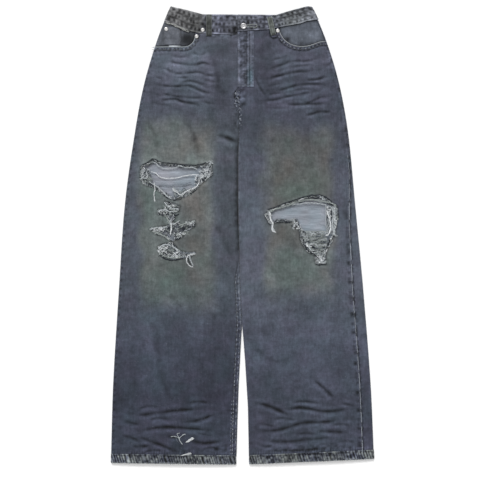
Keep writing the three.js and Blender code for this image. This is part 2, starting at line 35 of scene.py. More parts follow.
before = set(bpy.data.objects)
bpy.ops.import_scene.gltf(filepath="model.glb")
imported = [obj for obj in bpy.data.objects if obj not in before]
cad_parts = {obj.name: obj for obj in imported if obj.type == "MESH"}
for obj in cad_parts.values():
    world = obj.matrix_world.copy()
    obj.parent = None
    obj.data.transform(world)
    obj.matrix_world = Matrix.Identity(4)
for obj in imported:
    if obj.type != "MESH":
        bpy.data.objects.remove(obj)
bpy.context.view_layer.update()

MM = 0.001
RANDOM = np.random.default_rng(467)

# ---------------------------------------------------------------- driving sizes

HALF_LENGTH = 547
CROTCH_Y = 243
LEG_SPLIT_Y = -213
CLOTH = 1.2
HEM_HEIGHT = 22
HEM_EDGE_HEIGHT = 5.5
LEG_EDGE_HEIGHT = 4.2
WAIST_EDGE_HEIGHT = 7.8
CROWN_HEIGHT = 2.6
LOWEST_FRONT = 3.1
FOLD_ROUND = 2.3
LAYER = 1.5
INSEAM_WIDTH = 12
CENTRE_X = -9
FLY_EDGE_X = -12
FLY_WIDTH = 39.5
FLY_BOTTOM_Y = 354.5
BAND_CLOTH = 2.4
BAND_RAISE = 0.6
TUCK = 6
BAND_TUCK = 2.4
HEM_TUCK = 1.9
HEM_OVERLAP = 3
HEM_STITCH = 0.86
HEM_CLOTH = 2.4
HEM_RAISE = 0.7
SEAT_POCKET_CLOTH = 1.0
SEAM_DIP = 0.9
FLAT_LEVEL = 1.7
FACING_DEPTH = 2.1
BACK_BAND_Z = 1.5
SEAT_POCKET = {"centre": 115, "half": 75, "top": 392, "side": 262, "point": 236}


def smooth_step(low, high, value):
    part = np.clip((np.asarray(value, float) - low) / (high - low), 0, 1)
    return part * part * (3 - 2 * part)


def mix(start, end, part):
    return start + (end - start) * part


def bell(away, width):
    """1 where away is 0, falling softly to 0 at about twice the width."""
    return np.exp(-(away / width) ** 2)


def along(points, smooth=False):
    """A value against a place, through [place, value] points in falling order of place."""
    places = np.array([point[0] for point in points][::-1], float)
    values = np.array([point[1] for point in points][::-1], float)

    def straight(place):
        return np.interp(place, places, values)

    before = np.maximum(np.arange(len(places)) - 1, 0)
    after = np.minimum(np.arange(len(places)) + 1, len(places) - 1)
    slopes = (values[after] - values[before]) / (places[after] - places[before])

    def curved(place):
        place = np.asarray(place, float)
        index = np.clip(np.searchsorted(places, place) - 1, 0, len(places) - 2)
        length = places[index + 1] - places[index]
        part = np.clip((place - places[index]) / length, 0, 1)
        square = part ** 2
        cube = part ** 3
        start = values[index] * (2 * cube - 3 * square + 1)
        start = start + slopes[index] * length * (cube - 2 * square + part)
        end = values[index + 1] * (3 * square - 2 * cube)
        return start + end + slopes[index + 1] * length * (cube - square)

    return curved if smooth else straight


# ---------------------------------------------------------------- outlines and seams

right_outline = along([[547, -172], [472, -202], [362, -235], [247, -257], [75, -281],
                       [-125, -295], [-355, -309], [-547, -314.5]], True)
left_outline = along([[547, 166.5], [459, 202], [362, 231], [247, 252], [75, 269],
                      [-125, 288], [-355, 306], [-547, 314.5]], True)
right_inner = along([[CROTCH_Y, -8.05], [190, -10.55], [75, -10.55], [-107, -6.05],
                     [LEG_SPLIT_Y, -1.05], [-240, -3], [-355, -9], [-441, -12], [-547, -15]])
left_inner = along([[CROTCH_Y, -7.95], [190, -10.45], [75, -10.45], [-107, -5.95],
                    [LEG_SPLIT_Y, -0.95], [-240, 1.5], [-298, 6], [-412, 13], [-547, 15.5]])
outseam_width = along([[300, 3], [245, 5], [145, 7], [25, 18], [-130, 25], [-547, 26]])
centre_seam = along([[520, -9], [354.5, -9], [341, -18.5], [312, -18.5], [296, -9], [243, -8]])


def inseam(y):
    narrow = smooth_step(-115, -45, y)
    return right_inner(y) - mix(INSEAM_WIDTH, LAYER, narrow)


def right_front_end(y):
    return np.where(y > CROTCH_Y, centre_seam(y) - 0.3, inseam(y))


def left_front_start(y):
    return np.where(y > CROTCH_Y, centre_seam(y), left_inner(y))


def outseam(y):
    return left_outline(y) - outseam_width(y)


def right_hem_line(x):
    return -HALF_LENGTH - x / 80


def left_hem_line(x):
    return -HALF_LENGTH + x / 23


left_band_seam = along([[182, 515.5], [154, 511.5], [137, 505.5], [95, 498], [60, 491], [-12, 487]])
right_band_seam = along([[20, 488], [-11.5, 488], [-13.5, 478], [-101, 482], [-125, 487.5],
                         [-149, 493.5], [-164, 503], [-187, 512]])
back_band_seam = along([[182, 515.5], [154, 511.5], [137, 505.5], [95, 498], [-90, 486],
                        [-125, 487.5], [-149, 493.5], [-164, 503], [-187, 512]])
band_top = along([[166.5, 546], [154, 547], [111, 535.5], [80, 526], [-95, 527.5],
                  [-135, 538.5], [-172, 547]])
BAND_SEAM_ENDS = (-187, 182)
BAND_TOP_ENDS = (-172, 166.5)


def yoke_seam(x):
    return 488 - mix(72, 36, np.clip(np.abs(x - CENTRE_X) / 200, 0, 1))


RIGHT_POCKET_MOUTH = [(-113, 478), (-115, 467), (-122, 457), (-136, 450.5), (-178, 450.5),
                      (-240, 449.5)]
LEFT_POCKET_MOUTH = [(86, 494), (93, 477), (101, 466), (116, 456), (137, 451), (158, 453),
                     (176, 459), (192, 463), (240, 461)]

RIGHT_RIPS = [
    [(-244, 135), (-241, 165), (-211, 180), (-193, 171), (-152, 168), (-111, 165), (-75, 171),
     (-72, 144), (-97, 127), (-108, 113), (-141, 91), (-171, 86), (-196, 105), (-234, 124)],
    [(-185, 82), (-151, 70), (-152, 59), (-173, 56), (-159, 44), (-171, 28), (-178, 47),
     (-202, 51), (-201, 61), (-179, 62), (-182, 73)],
    [(-221, 15), (-178, 23), (-170, 31), (-154, 30), (-145, 23), (-115, 35), (-113, 23),
     (-135, 11), (-149, -5), (-168, -13), (-185, -4), (-209, 5)],
    [(-202, -27), (-190, -21), (-168, -18), (-154, -35), (-135, -43), (-113, -39),
     (-125, -51), (-168, -56), (-197, -44)],
]
LEFT_RIPS = [
    [(54, 50), (69, 61), (115, 78), (162, 93), (189, 93), (225, 69), (228, 45), (217, -2),
     (209, -18), (198, -43), (198, -68), (176, -68), (173, -48), (151, -35), (140, -15),
     (137, 9), (124, 34), (77, 32), (66, 26)],
]


# ---------------------------------------------------------------- lines, noise and fields

def curve(points, step=4.0):
    """Points at even steps along a smooth line through the given points."""
    points = np.array(points, float)
    if len(points) == 2:
        count = max(2, int(np.hypot(*(points[1] - points[0])[:2]) / step) + 1)
        return points[0] + np.linspace(0, 1, count)[:, None] * (points[1] - points[0])
    padded = np.vstack([2 * points[0] - points[1], points, 2 * points[-1] - points[-2]])
    pieces = []
    for index in range(1, len(padded) - 2):
        before, start, end, after = padded[index - 1:index + 3]
        count = max(2, int(np.linalg.norm(end - start) / step) + 1)
        part = np.linspace(0, 1, count, endpoint=False)[:, None]
        pieces.append(0.5 * (2 * start + (end - before) * part
                             + (2 * before - 5 * start + 4 * end - after) * part ** 2
                             + (3 * start - before - 3 * end + after) * part ** 3))
    pieces.append(points[-1:])
    return np.vstack(pieces)


def arc_lengths(points):
    """How far along a polyline each of its points is."""
    return np.concatenate([[0], np.cumsum(np.linalg.norm(np.diff(points, axis=0), axis=1))])


def resample(points, step):
    """Points at even arc lengths along a polyline."""
    points = np.asarray(points, float)
    lengths = arc_lengths(points)
    count = max(2, int(round(lengths[-1] / step)) + 1)
    places = np.linspace(0, lengths[-1], count)
    return np.stack([np.interp(places, lengths, points[:, axis])
                     for axis in range(points.shape[1])], axis=1)


def left_of(ahead):
    """Unit vectors a quarter turn to the left of the given ones."""
    turned = np.stack([-ahead[:, 1], ahead[:, 0]], axis=1)
    return turned / np.maximum(np.linalg.norm(turned, axis=1, keepdims=True), 1e-6)


def beside(edge, shift, y):
    """Places along an edge that runs up the garment, moved by shift to the wearer's left."""
    return np.stack([edge(y) + shift, y], axis=1)


LATTICE = RANDOM.uniform(-1, 1, (256, 256))


def rumple(x, y, size_x, size_y, seed=0):
    """Smooth noise from -1 to 1, with hills of about the given size."""
    across = np.asarray(x, float) / size_x + 17.3 * seed
    up = np.asarray(y, float) / size_y + 9.1 * seed
    left = np.floor(across).astype(int)
    low = np.floor(up).astype(int)
    part_x = smooth_step(0, 1, across - left)
    part_y = smooth_step(0, 1, up - low)

    def corner(step_x, step_y):
        return LATTICE[(left + step_x) % 256, (low + step_y) % 256]

    lower = mix(corner(0, 0), corner(1, 0), part_x)
    upper = mix(corner(0, 1), corner(1, 1), part_x)
    return mix(lower, upper, part_y)


def uneven(arc, size, seed):
    """Smooth noise along a line, with hills of about the given size."""
    return rumple(arc, arc * 0, size, 5, seed)


class Field:
    """A value over the whole garment, held every few millimetres and read in between."""

    STEP = 1.6
    REACH_X = 336
    REACH_Y = 568

    def __init__(self):
        self.xs = np.arange(-self.REACH_X, self.REACH_X, self.STEP)
        self.ys = np.arange(-self.REACH_Y, self.REACH_Y, self.STEP)
        self.values = np.zeros((len(self.ys), len(self.xs)))

    def at(self, x, y):
        across = np.clip((x + self.REACH_X) / self.STEP, 0, len(self.xs) - 1.001)
        up = np.clip((y + self.REACH_Y) / self.STEP, 0, len(self.ys) - 1.001)
        left = across.astype(int)
        low = up.astype(int)
        part_x = across - left
        part_y = up - low
        lower = mix(self.values[low, left], self.values[low, left + 1], part_x)
        upper = mix(self.values[low + 1, left], self.values[low + 1, left + 1], part_x)
        return mix(lower, upper, part_y)

    def window(self, points, reach):
        """The part of the field within reach of a line: its slice and its places."""
        low_x, low_y = points.min(axis=0) - reach
        high_x, high_y = points.max(axis=0) + reach
        columns = slice(*np.searchsorted(self.xs, [low_x, high_x]))
        rows = slice(*np.searchsorted(self.ys, [low_y, high_y]))
        grid_x, grid_y = np.meshgrid(self.xs[columns], self.ys[rows])
        return (rows, columns), grid_x, grid_y


def from_line(x, y, points):
    """Distance, side and arc length of the nearest point of a line, for each place."""
    nearest = np.full(x.shape, np.inf)
    side = np.zeros(x.shape)
    arc = np.zeros(x.shape)
    travelled = 0.0
    for start, end in zip(points[:-1], points[1:]):
        run = end - start
        length = max(float(np.hypot(*run)), 1e-6)
        part = np.clip(((x - start[0]) * run[0] + (y - start[1]) * run[1]) / length ** 2, 0, 1)
        away_x = x - start[0] - part * run[0]
        away_y = y - start[1] - part * run[1]
        distance = np.hypot(away_x, away_y)
        closer = distance < nearest
        nearest = np.where(closer, distance, nearest)
        side = np.where(closer, np.sign(run[0] * away_y - run[1] * away_x), side)
        arc = np.where(closer, travelled + part * length, arc)
        travelled += length
    return nearest, side, arc, travelled


def squared(wave):
    """A sine wave with steeper sides and flatter tops."""
    return np.sign(wave) * np.abs(wave) ** 0.6


def blob(x, y, centre, size, power=2):
    """1 at a centre, falling softly to 0 at about the given half sizes."""
    reach = ((x - centre[0]) / size[0]) ** 2 + ((y - centre[1]) / size[1]) ** 2
    return np.exp(-reach ** (power / 2))


relief = Field()
# The second field holds the front's lightening and darkening: worn lines and fades, together with painted
# shade and painted highlights on its folds, seams and torn edges.
shade = Field()


def spots(x, y, rows):
    """A sum of soft patches, from rows of strength, centre and size."""
    return sum(strength * blob(x, y, centre, size) for strength, centre, size in rows)


def crease(points, depth=1.7, reach=2.7, tone=1.0):
    """A thin trough with a soft ridge on either side, that fades out at both ends. The trough and the hollow
    beside it are painted darker, painted shade in the crease, and the ridges paler, partly faded wash and
    partly painted highlight.
    """
    line = curve(points, 8)
    window, x, y = relief.window(line, 9 * reach)
    if x.size == 0:
        return
    distance, side, arc, length = from_line(x, y, line)
    seed = int(abs(line[0][0]) + abs(line[0][1])) % 90
    wander = 0.78 + 0.45 * uneven(arc, 13, seed)
    width = reach * (1 + 0.4 * uneven(arc, 19, seed + 1))
    ends = smooth_step(0, 0.2 * length, arc) * smooth_step(0, 0.25 * length, length - arc)
    strength = wander * (0.12 + 0.88 * ends)
    trough = bell(distance, width) * strength
    hollow = bell(distance + 0.6 * side * reach, 2.6 * reach) * strength
    ridge = bell(distance - 3.0 * reach, 1.7 * reach) * strength
    upper = 1 - 0.45 * side
    relief.values[window] += depth * (0.5 * ridge * upper - 0.8 * trough - 0.3 * hollow)
    shade.values[window] += tone * (0.17 * ridge * upper - 0.4 * trough - 0.07 * hollow)


def pucker(points, pitch, depth, reach, tone=0.1, light=0.0, seed=1):
    """Small ripples along a seam, and a worn line where the seam stands proud. The ripples are painted
    lighter on their crests and darker in their troughs, partly faded wash and partly painted shade.
    """
    line = resample(np.array(points, float), 10)
    window, x, y = relief.window(line, 3 * reach)
    distance, _, arc, _ = from_line(x, y, line)
    phase = 2 * math.pi * arc / pitch + 1.6 * uneven(arc, 3.1 * pitch, seed)
    ripple = np.sin(phase) * bell(distance, reach)
    relief.values[window] += depth * ripple
    shade.values[window] += tone * ripple + light * bell(distance, 1.8)


def wear_and_shadow_line(points, light, width, pitch, gap, seed):
    """A line along a seam, broken by short gaps: paler with wear where light is above 0, darker where it is
    below 0, as some rows use it for painted shadow.
    """
    line = resample(np.array(points, float), 10)
    window, x, y = shade.window(line, 6 * width)
    distance, _, arc, _ = from_line(x, y, line)
    phase = 2 * math.pi * arc / pitch + 2.2 * uneven(arc, 2.3 * pitch, seed)
    worn = smooth_step(-0.75, -0.35, np.sin(phase))
    level = 0.75 + 0.45 * uneven(arc, 1.1 * pitch, seed + 1)
    near = bell(distance, width)
    shade.values[window] += near * (light * worn * level - gap * (1 - worn))
    relief.values[window] += near * (0.45 * worn - 0.2)


def seam_band(points, below, light, seed):
    """A turned and topstitched edge: a pale worn rim, beaded stitching and a dark outline. The beads are
    painted lighter on their crests and darker between, partly faded wash and partly painted shade, and the
    dark outline is painted shade in the dip below the stitched band.
    """
    line = resample(curve(points, 4), 4)
    window, x, y = shade.window(line, 22)
    distance, side, arc, _ = from_line(x, y, line)
    down = distance * side * below
    wander = 1 + 0.3 * uneven(arc, 16, seed)
    rim = bell(down - 1.2, 1.8)
    bead = bell(down - 5.6 * wander, 2.4)
    beat = np.sin(2 * math.pi * arc / 8.4 + 2.6 * uneven(arc, 15, seed + 1))
    outline = bell(down - 9.8 * wander, 2.2)
    under = bell(down - 13, 2.6)
    level = 0.7 + 0.5 * uneven(arc, 17, seed + 2)
    shade.values[window] += (light * rim + 0.62 * bead * beat - 0.2 * bead - 0.55 * outline * level
                             + 0.14 * under * level)
    relief.values[window] += 0.5 * rim + bead * (0.3 * beat + 0.15) - 0.7 * outline * level


def blotches(centre, size, strength, grain, seed):
    """A patch of small light and dark marks, as where a seam is bunched. The marks are painted lighter where
    the cloth rises and darker where it sinks, partly faded wash and partly painted light and shade.
    """
    reach = np.array(size) * 1.8
    corners = np.array([np.array(centre) - reach, np.array(centre) + reach])
    window, x, y = shade.window(corners, 0)
    mask = blob(x, y, centre, size, 4)
    marks = rumple(x, y, grain, 0.85 * grain, seed) + 0.7 * rumple(x, y, 0.55 * grain, 0.5 * grain, seed + 1)
    shade.values[window] += mask * strength * marks
    relief.values[window] += mask * strength * 1.3 * marks


# Folds across the right thigh, from the fly out to the side.
RIGHT_THIGH = [
    [(-180, 419), (-160, 412), (-132, 408), (-110, 408), (-93, 412), (-66, 403)],
    [(-196, 402), (-178, 396), (-160, 387), (-129, 388), (-105, 390), (-87, 384), (-54, 379)],
    [(-158, 377), (-127, 377)],
    [(-148, 367), (-123, 369), (-105, 364), (-87, 360)],
    [(-211, 361), (-190, 358), (-160, 356), (-129, 358), (-111, 351), (-87, 342), (-61, 340)],
    [(-200, 342), (-178, 336), (-148, 331), (-117, 329), (-87, 329)],
    [(-199, 324), (-160, 326), (-145, 320), (-117, 315), (-99, 308)],
    [(-211, 381), (-190, 373)],
]
LEFT_THIGH = [
    [(53, 397), (76, 402), (99, 409), (117, 416), (156, 417), (172, 421), (190, 429)],
    [(53, 373), (83, 380), (110, 387), (131, 391), (156, 392), (185, 395)],
    [(147, 371), (179, 373), (200, 380)],
    [(71, 342), (103, 351), (131, 359), (158, 362), (186, 361), (204, 357)],
    [(44, 322), (76, 324), (103, 331), (131, 336), (158, 342), (193, 347)],
    [(146, 315), (165, 320), (183, 329), (204, 333)],
    [(101, 313), (138, 313), (206, 316)],
    [(149, 287), (164, 290), (186, 296), (214, 294)],
]
RIGHT_SHIN = [
    [(-259, -430), (-244, -429), (-195, -422), (-149, -417), (-91, -414)],
    [(-143, -445), (-109, -442), (-64, -426)],
    [(-281, -443), (-244, -453)],
    [(-244, -466), (-195, -458), (-134, -460), (-73, -466)],
    [(-247, -481), (-195, -500), (-152, -518)],
    [(-265, -503), (-219, -503)],
    [(-125, -489), (-90, -496), (-49, -491)],
]
LEFT_SHIN = [
    [(171, -344), (197, -367), (220, -390)],
    [(101, -417), (141, -411), (199, -420), (254, -414)],
    [(27, -400), (56, -405), (86, -417), (120, -434)],
    [(37, -469), (92, -463), (141, -448), (199, -445), (244, -439)],
    [(180, -466), (209, -468), (245, -470)],
    [(55, -490), (107, -492), (159, -487), (214, -481)],
    [(62, -512), (114, -513), (153, -512), (197, -508)],
]
SOFT_FOLDS = [
    [(-207, -209), (-203, -262), (-197, -310), (-188, -357), (-170, -387), (-149, -414)],
    [(10, -244), (27, -264), (46, -283), (66, -295), (101, -304)],
    [(-149, 295), (-135, 271), (-116, 240), (-109, 209), (-104, 180)],
    [(-226, 264), (-209, 240), (-202, 204)],
    [(-73, 32), (-49, 1), (-30, -47)],
    [(-183, -142), (-159, -154), (-140, -183)],
    [(-71, 424), (-61, 384), (-63, 336)],
]
SMALL_FOLDS = [
    [(-226, 436), (-205, 431), (-186, 432)], [(-170, 430), (-150, 426), (-128, 428)],
    [(-120, 436), (-100, 432), (-84, 436)], [(-214, 341), (-190, 333), (-172, 330)],
    [(-216, 318), (-190, 312), (-165, 309)], [(-100, 322), (-80, 316), (-62, 313)],
    [(70, 420), (92, 424), (110, 430)], [(118, 403), (140, 405), (170, 408)],
    [(60, 356), (80, 361), (98, 364)], [(60, 305), (90, 304), (118, 306)],
    [(196, 404), (208, 410), (216, 418)], [(120, 347), (150, 349), (176, 347)],
    [(-96, 372), (-80, 369), (-62, 366)], [(60, 336), (80, 339), (100, 341)],
]
SHIN_WRINKLES = [
    [(-225, -440), (-200, -436), (-170, -440)], [(-185, -476), (-160, -482), (-132, -478)],
    [(-285, -478), (-262, -484), (-246, -492)], [(-236, -516), (-205, -512), (-186, -516)],
    [(-110, -470), (-86, -476), (-62, -478)], [(-250, -414), (-225, -408), (-196, -408)],
    [(-98, -510), (-76, -506), (-52, -512)], [(-130, -400), (-104, -396), (-80, -400)],
    [(120, -398), (150, -396), (186, -400)], [(232, -400), (256, -404), (270, -410)],
    [(70, -440), (96, -436), (126, -440)], [(40, -448), (58, -452), (76, -456)],
    [(214, -452), (236, -450), (258, -454)], [(130, -474), (156, -472), (180, -476)],
    [(226, -494), (246, -490), (268, -494)], [(36, -500), (56, -504), (74, -502)],
]
# Groups of folds with the same depth, reach and tone. The last two are the crotch's and the fly's.
FOLD_GROUPS = [
    (RIGHT_THIGH, 1.8, 2.2, 1.5), (LEFT_THIGH, 1.8, 2.2, 1.35), (SMALL_FOLDS, 1.0, 1.9, 0.7),
    (RIGHT_SHIN + LEFT_SHIN, 2.3, 2.8, 1.6), (SHIN_WRINKLES, 1.3, 2.2, 1.1), (SOFT_FOLDS, 1.0, 5, 0.5),
    ([[(-60, 240), (-48, 238), (-35, 233), (-22, 227), (-12, 222)]], 1.8, 3.6, 2.2),
    ([[(31, 381), (37, 362), (47, 345), (55, 333)]], 1.2, 1.7, 1.2),
]
for lines, depth, reach, tone in FOLD_GROUPS:
    for line in lines:
        crease(line, depth, reach, tone)

SIDE = np.arange(-524, 450, 12.0)
LOW_SIDE = SIDE[SIDE < 60]
LEG = np.arange(-524, CROTCH_Y, 12.0)
UPPER_LEG = LEG[LEG > -40]
INSEAM = LEG[LEG < -88]
FOOT = INSEAM[INSEAM < -400]
# An edge, a shift from it and its heights, then the line's light, width, pitch, gap and seed.
WEAR_AND_SHADOW_LINES = [
    (inseam, 1, INSEAM, 0.62, 2.2, 11, 0.3, 61), (inseam, 8.5, INSEAM, 0.6, 2.0, 13, 0.3, 63),
    (inseam, 4.8, INSEAM, -0.45, 1.8, 14, -0.1, 65), (inseam, -3, FOOT, 0.3, 3.0, 9, 0.2, 64),
    # The two rows along right_inner paint the shadow that the left leg's folded edge throws on the right
    # leg: painted shadow.
    (right_inner, -5, UPPER_LEG, -0.38, 4.5, 26, 0.12, 67),
    (right_inner, -1.5, UPPER_LEG, -0.55, 1.9, 44, 0.45, 68),
    (left_inner, 2.5, UPPER_LEG, 0.26, 2.2, 21, 0.0, 69), (outseam, -0.6, SIDE, 0.55, 2.2, 38, 0.3, 71),
    (outseam, 3.4, SIDE, -0.42, 1.7, 15, -0.1, 72), (outseam, -6.5, LOW_SIDE, 0.1, 3.6, 23, 0.38, 73),
    (outseam, -7.5, LOW_SIDE, 0.06, 4.2, 39, 0.34, 74), (right_outline, 4, SIDE, 0.16, 2.2, 16, 0.45, 75),
]
for edge, shift, heights, *look in WEAR_AND_SHADOW_LINES:
    wear_and_shadow_line(beside(edge, shift, heights), *look)
pucker(beside(inseam, 2, INSEAM), 7.0, 0.4, 5, 0.22, 0.0, 2)
pucker(beside(outseam, 0, SIDE), 8.0, 0.4, 5, 0.12, 0.0, 3)
pucker([(x, right_hem_line(x) + 25) for x in range(-310, -10, 10)], 6.6, 0.6, 6, 0.26, 0.05, 5)
pucker([(x, left_hem_line(x) + 25) for x in range(20, 312, 10)], 6.6, 0.6, 6, 0.26, 0.05, 6)
seam_band(RIGHT_POCKET_MOUTH, 1, 0.85, 41)
seam_band(LEFT_POCKET_MOUTH, -1, 0.6, 45)
# A patch's centre and half size, then the strength, grain and seed of its marks.
BUNCHED = [
    ((-226, 448), (26, 14), 0.42, 6, 31), ((-14, 326), (9, 26), 0.75, 6.5, 33),
    ((-3, 329), (13, 23), 0.6, 7, 34), ((-14, 272), (8, 28), 0.42, 6.5, 35),
    ((-52, 476), (34, 9), 0.28, 7, 37), ((-40, -508), (32, 14), 0.45, 6, 39),
    ((170, -510), (130, 13), 0.34, 6, 43), ((-180, -516), (120, 9), 0.26, 6, 47),
    ((285, -512), (22, 14), 0.35, 6, 48), ((222, 462), (18, 8), 0.22, 7, 49),
]
for values in BUNCHED:
    blotches(*values)
# Round each tear the front is painted darker at the edge, a painted shadow, a little lighter beyond it, and
# raised near the edge.
TORN = [np.array(outline, float) for outline in RIGHT_RIPS + LEFT_RIPS]
for outline in TORN:
    torn_edge = np.vstack([outline, outline[:1]])
    window, x, y = shade.window(torn_edge, 12)
    distance, _, arc, _ = from_line(x, y, torn_edge)
    level = 0.75 + 0.5 * uneven(arc, 9, 77)
    shade.values[window] -= 0.62 * level * bell(distance, 3.0)
    shade.values[window] += 0.12 * level * bell(distance - 7, 3.0)
    relief.values[window] += 0.5 * level * bell(distance - 2, 3.0)

everywhere_x, everywhere_y = np.meshgrid(relief.xs, relief.ys)
relief.values += 0.55 * rumple(everywhere_x, everywhere_y, 75, 60, 11)
relief.values += 0.28 * rumple(everywhere_x, everywhere_y, 26, 13, 12)
relief.values += 0.15 * rumple(everywhere_x, everywhere_y, 9, 7, 13)
hips = smooth_step(300, 330, everywhere_y)
shins = 1 - smooth_step(-420, -360, everywhere_y)
fine = rumple(everywhere_x, everywhere_y, 22, 6.5, 14) + 0.6 * rumple(everywhere_x, everywhere_y, 13, 4, 15)
# The fine rumples, strongest over the hips and shins, are also painted a little lighter where they rise and
# darker where they sink: painted light and shade.
relief.values += (0.12 + 0.22 * hips + 0.3 * shins) * fine
shade.values += (0.035 + 0.06 * hips + 0.07 * shins) * fine


def crown(x, low, high):
    part = np.clip((x - low) / (high - low), 0, 1)
    return 1 - np.abs(2 * part - 1) ** 3


def plain_height(x, y):
    """The outer face of the front above the surface, without its folds."""
    on_right = x < (right_inner(y) + left_inner(y)) / 2
    one_leg = np.where(on_right, crown(x, right_outline(y), right_inner(y)),
                       crown(x, left_inner(y), left_outline(y)))
    both_legs = crown(x, right_outline(y), left_outline(y))
    hips_part = smooth_step(CROTCH_Y - 60, CROTCH_Y + 60, y)
    base = LEG_EDGE_HEIGHT + (WAIST_EDGE_HEIGHT - LEG_EDGE_HEIGHT) * smooth_step(330, 430, y)
    base = base + (HEM_EDGE_HEIGHT - LEG_EDGE_HEIGHT) * (1 - smooth_step(-520, -460, y))
    return base + CROWN_HEIGHT * mix(one_leg, both_legs, hips_part)


def front_height(x, y):
    return np.maximum(plain_height(x, y) + relief.at(x, y), LOWEST_FRONT)


def band_height(x):
    lap = smooth_step(-40, -20, x) * (1 - smooth_step(40, 70, x))
    return WAIST_EDGE_HEIGHT + CROWN_HEIGHT * crown(x, *BAND_SEAM_ENDS) + 1.5 * lap + BAND_RAISE


# ---------------------------------------------------------------- colours

SURFACE_GAIN = 1.12


def linear(color):
    """The linear colour of an 8-bit one, as a surface in this light has to have it."""
    part = np.asarray(color, float) / 255
    value = np.where(part <= 0.04045, part / 12.92, ((part + 0.055) / 1.055) ** 2.4)
    return value / SURFACE_GAIN


def lit(color, light, low, high, power):
    """A linear colour made lighter or darker by light, which is 0 where it stays as it is."""
    return color * np.clip(1 + light, low, high)[..., None] ** power


def tones(rows):
    """A colour against Y, from [y, (red, green, blue)] rows in falling order."""
    channels = [along([[row[0], row[1][channel]] for row in rows]) for channel in range(3)]
    return lambda y: np.stack([channel(y) for channel in channels], axis=-1)


right_tone = tones([[480, (86, 90, 103)], [420, (83, 88, 101)], [330, (75, 80, 93)],
                    [240, (78, 84, 94)], [60, (82, 88, 98)], [-120, (79, 86, 97)],
                    [-260, (65, 71, 85)], [-400, (54, 59, 73)], [-547, (57, 62, 76)]])
left_tone = tones([[480, (78, 82, 96)], [420, (78, 82, 96)], [330, (71, 76, 90)],
                   [240, (75, 80, 92)], [60, (88, 94, 107)], [-120, (84, 90, 102)],
                   [-260, (77, 83, 98)], [-400, (64, 69, 83)], [-547, (61, 66, 80)]])
right_stain = tones([[250, (98, 102, 104)], [190, (112, 119, 119)], [80, (103, 109, 110)],
                     [-80, (98, 103, 103)], [-200, (84, 92, 97)]])
left_stain = tones([[250, (87, 90, 93)], [130, (98, 102, 101)], [0, (97, 102, 103)],
                    [-100, (103, 109, 110)], [-200, (90, 96, 102)]])


# Where the stains turn brown, or green below 0.
BROWN_SPOTS = [
    (0.9, (-113, 73), (34, 60)), (0.8, (114, 157), (50, 36)), (0.8, (97, 8), (22, 30)),
    (0.6, (-140, 215), (44, 26)), (-1.1, (-161, -118), (46, 28)), (-0.9, (-221, 61), (30, 70)),
    (-1.1, (102, -63), (56, 34)), (-0.6, (150, 120), (40, 26)),
]
# Where the whole wash is lighter, or darker below 0.
LIGHT_SPOTS = [
    (0.26, (-137, 400), (60, 40)), (0.14, (137, 405), (58, 36)), (-0.22, (-44, 380), (26, 80)),
    (-0.19, (52, 400), (26, 90)), (-0.1, (-72, -320), (62, 110)), (-0.1, (188, 287), (20, 9)),
    (0.1, (-205, -350), (26, 80)), (0.08, (117, -300), (28, 60)), (-0.16, (-34, 60), (26, 150)),
    (-0.08, (60, -330), (30, 90)), (0.16, (-40, -500), (24, 60)), (0.1, (262, -470), (18, 60)),
    (-0.1, (248, 60), (22, 110)), (-0.06, (-150, -470), (120, 50)),
]


def wash(x, y):
    """The front's colour: washed blue, stained round the knees, dark at the fly and shins, with its worn
    lines and the painted shade and highlights of its folds, seams and tears.
    """
    on_right = (x < (right_inner(y) + left_inner(y)) / 2)[..., None]
    color = np.where(on_right, right_tone(y), left_tone(y))
    wobble_x = x + 14 * rumple(x, y, 45, 45, 21)
    wobble_y = y + 14 * rumple(x, y, 45, 45, 22)
    right_mask = (smooth_step(-258, -228, wobble_x) * (1 - smooth_step(-86, -52, wobble_x))
                  * (1 - smooth_step(246, 300, wobble_y)) * smooth_step(-205, -130, wobble_y))
    left_mask = (smooth_step(34, 70, wobble_x) * (1 - smooth_step(196, 232, wobble_x))
                 * (1 - smooth_step(226, 276, wobble_y)) * smooth_step(-182, -110, wobble_y))
    color = mix(color, right_stain(y), right_mask[..., None])
    color = mix(color, left_stain(y), left_mask[..., None])
    stained = np.maximum(right_mask, left_mask)
    brown = 0.8 * rumple(x, y, 46, 40, 25) + 0.5 * rumple(x, y, 21, 24, 26)
    brown = brown + spots(x, y, BROWN_SPOTS)
    brown = np.clip(brown, -1.4, 1.4)[..., None]
    cool = (0.9 * rumple(x, y, 38, 34, 27) + 0.6 * rumple(x, y, 17, 14, 28))[..., None]
    color = color + stained[..., None] * (np.maximum(brown, 0) * (4.0, -0.6, -2.6)
                                          + np.minimum(brown, 0) * (4.6, -0.9, 1.4))
    color = color + (1 - 0.6 * stained[..., None]) * cool * (2.4, -0.7, 0.9)
    light = spots(x, y, LIGHT_SPOTS)
    light = light + 0.07 * rumple(x, y, 60, 70, 23) + 0.09 * rumple(x, y, 23, 27, 24)
    light = light + 0.07 * rumple(x, y, 10, 12, 29) + shade.at(x, y)
    return linear(np.clip(color, 8, 250)) * (1 + np.clip(light, -0.75, 1.1))[..., None] ** 1.6


def seat_wash(x, y):
    """The back's colour: the same blue, worn paler over the seat and down the legs."""
    color = right_tone(y) * 1.0
    light = 0.22 * blob(np.abs(x - CENTRE_X), y, (115, 330), (90, 90))
    light = light + 0.14 * blob(np.abs(x), y, (150, -40), (70, 190))
    light = light + 0.07 * rumple(x, y, 60, 90, 33) + 0.05 * rumple(x, y, 12, 40, 34)
    return linear(color) * (1 + light)[..., None] ** 1.4


# ---------------------------------------------------------------- meshes

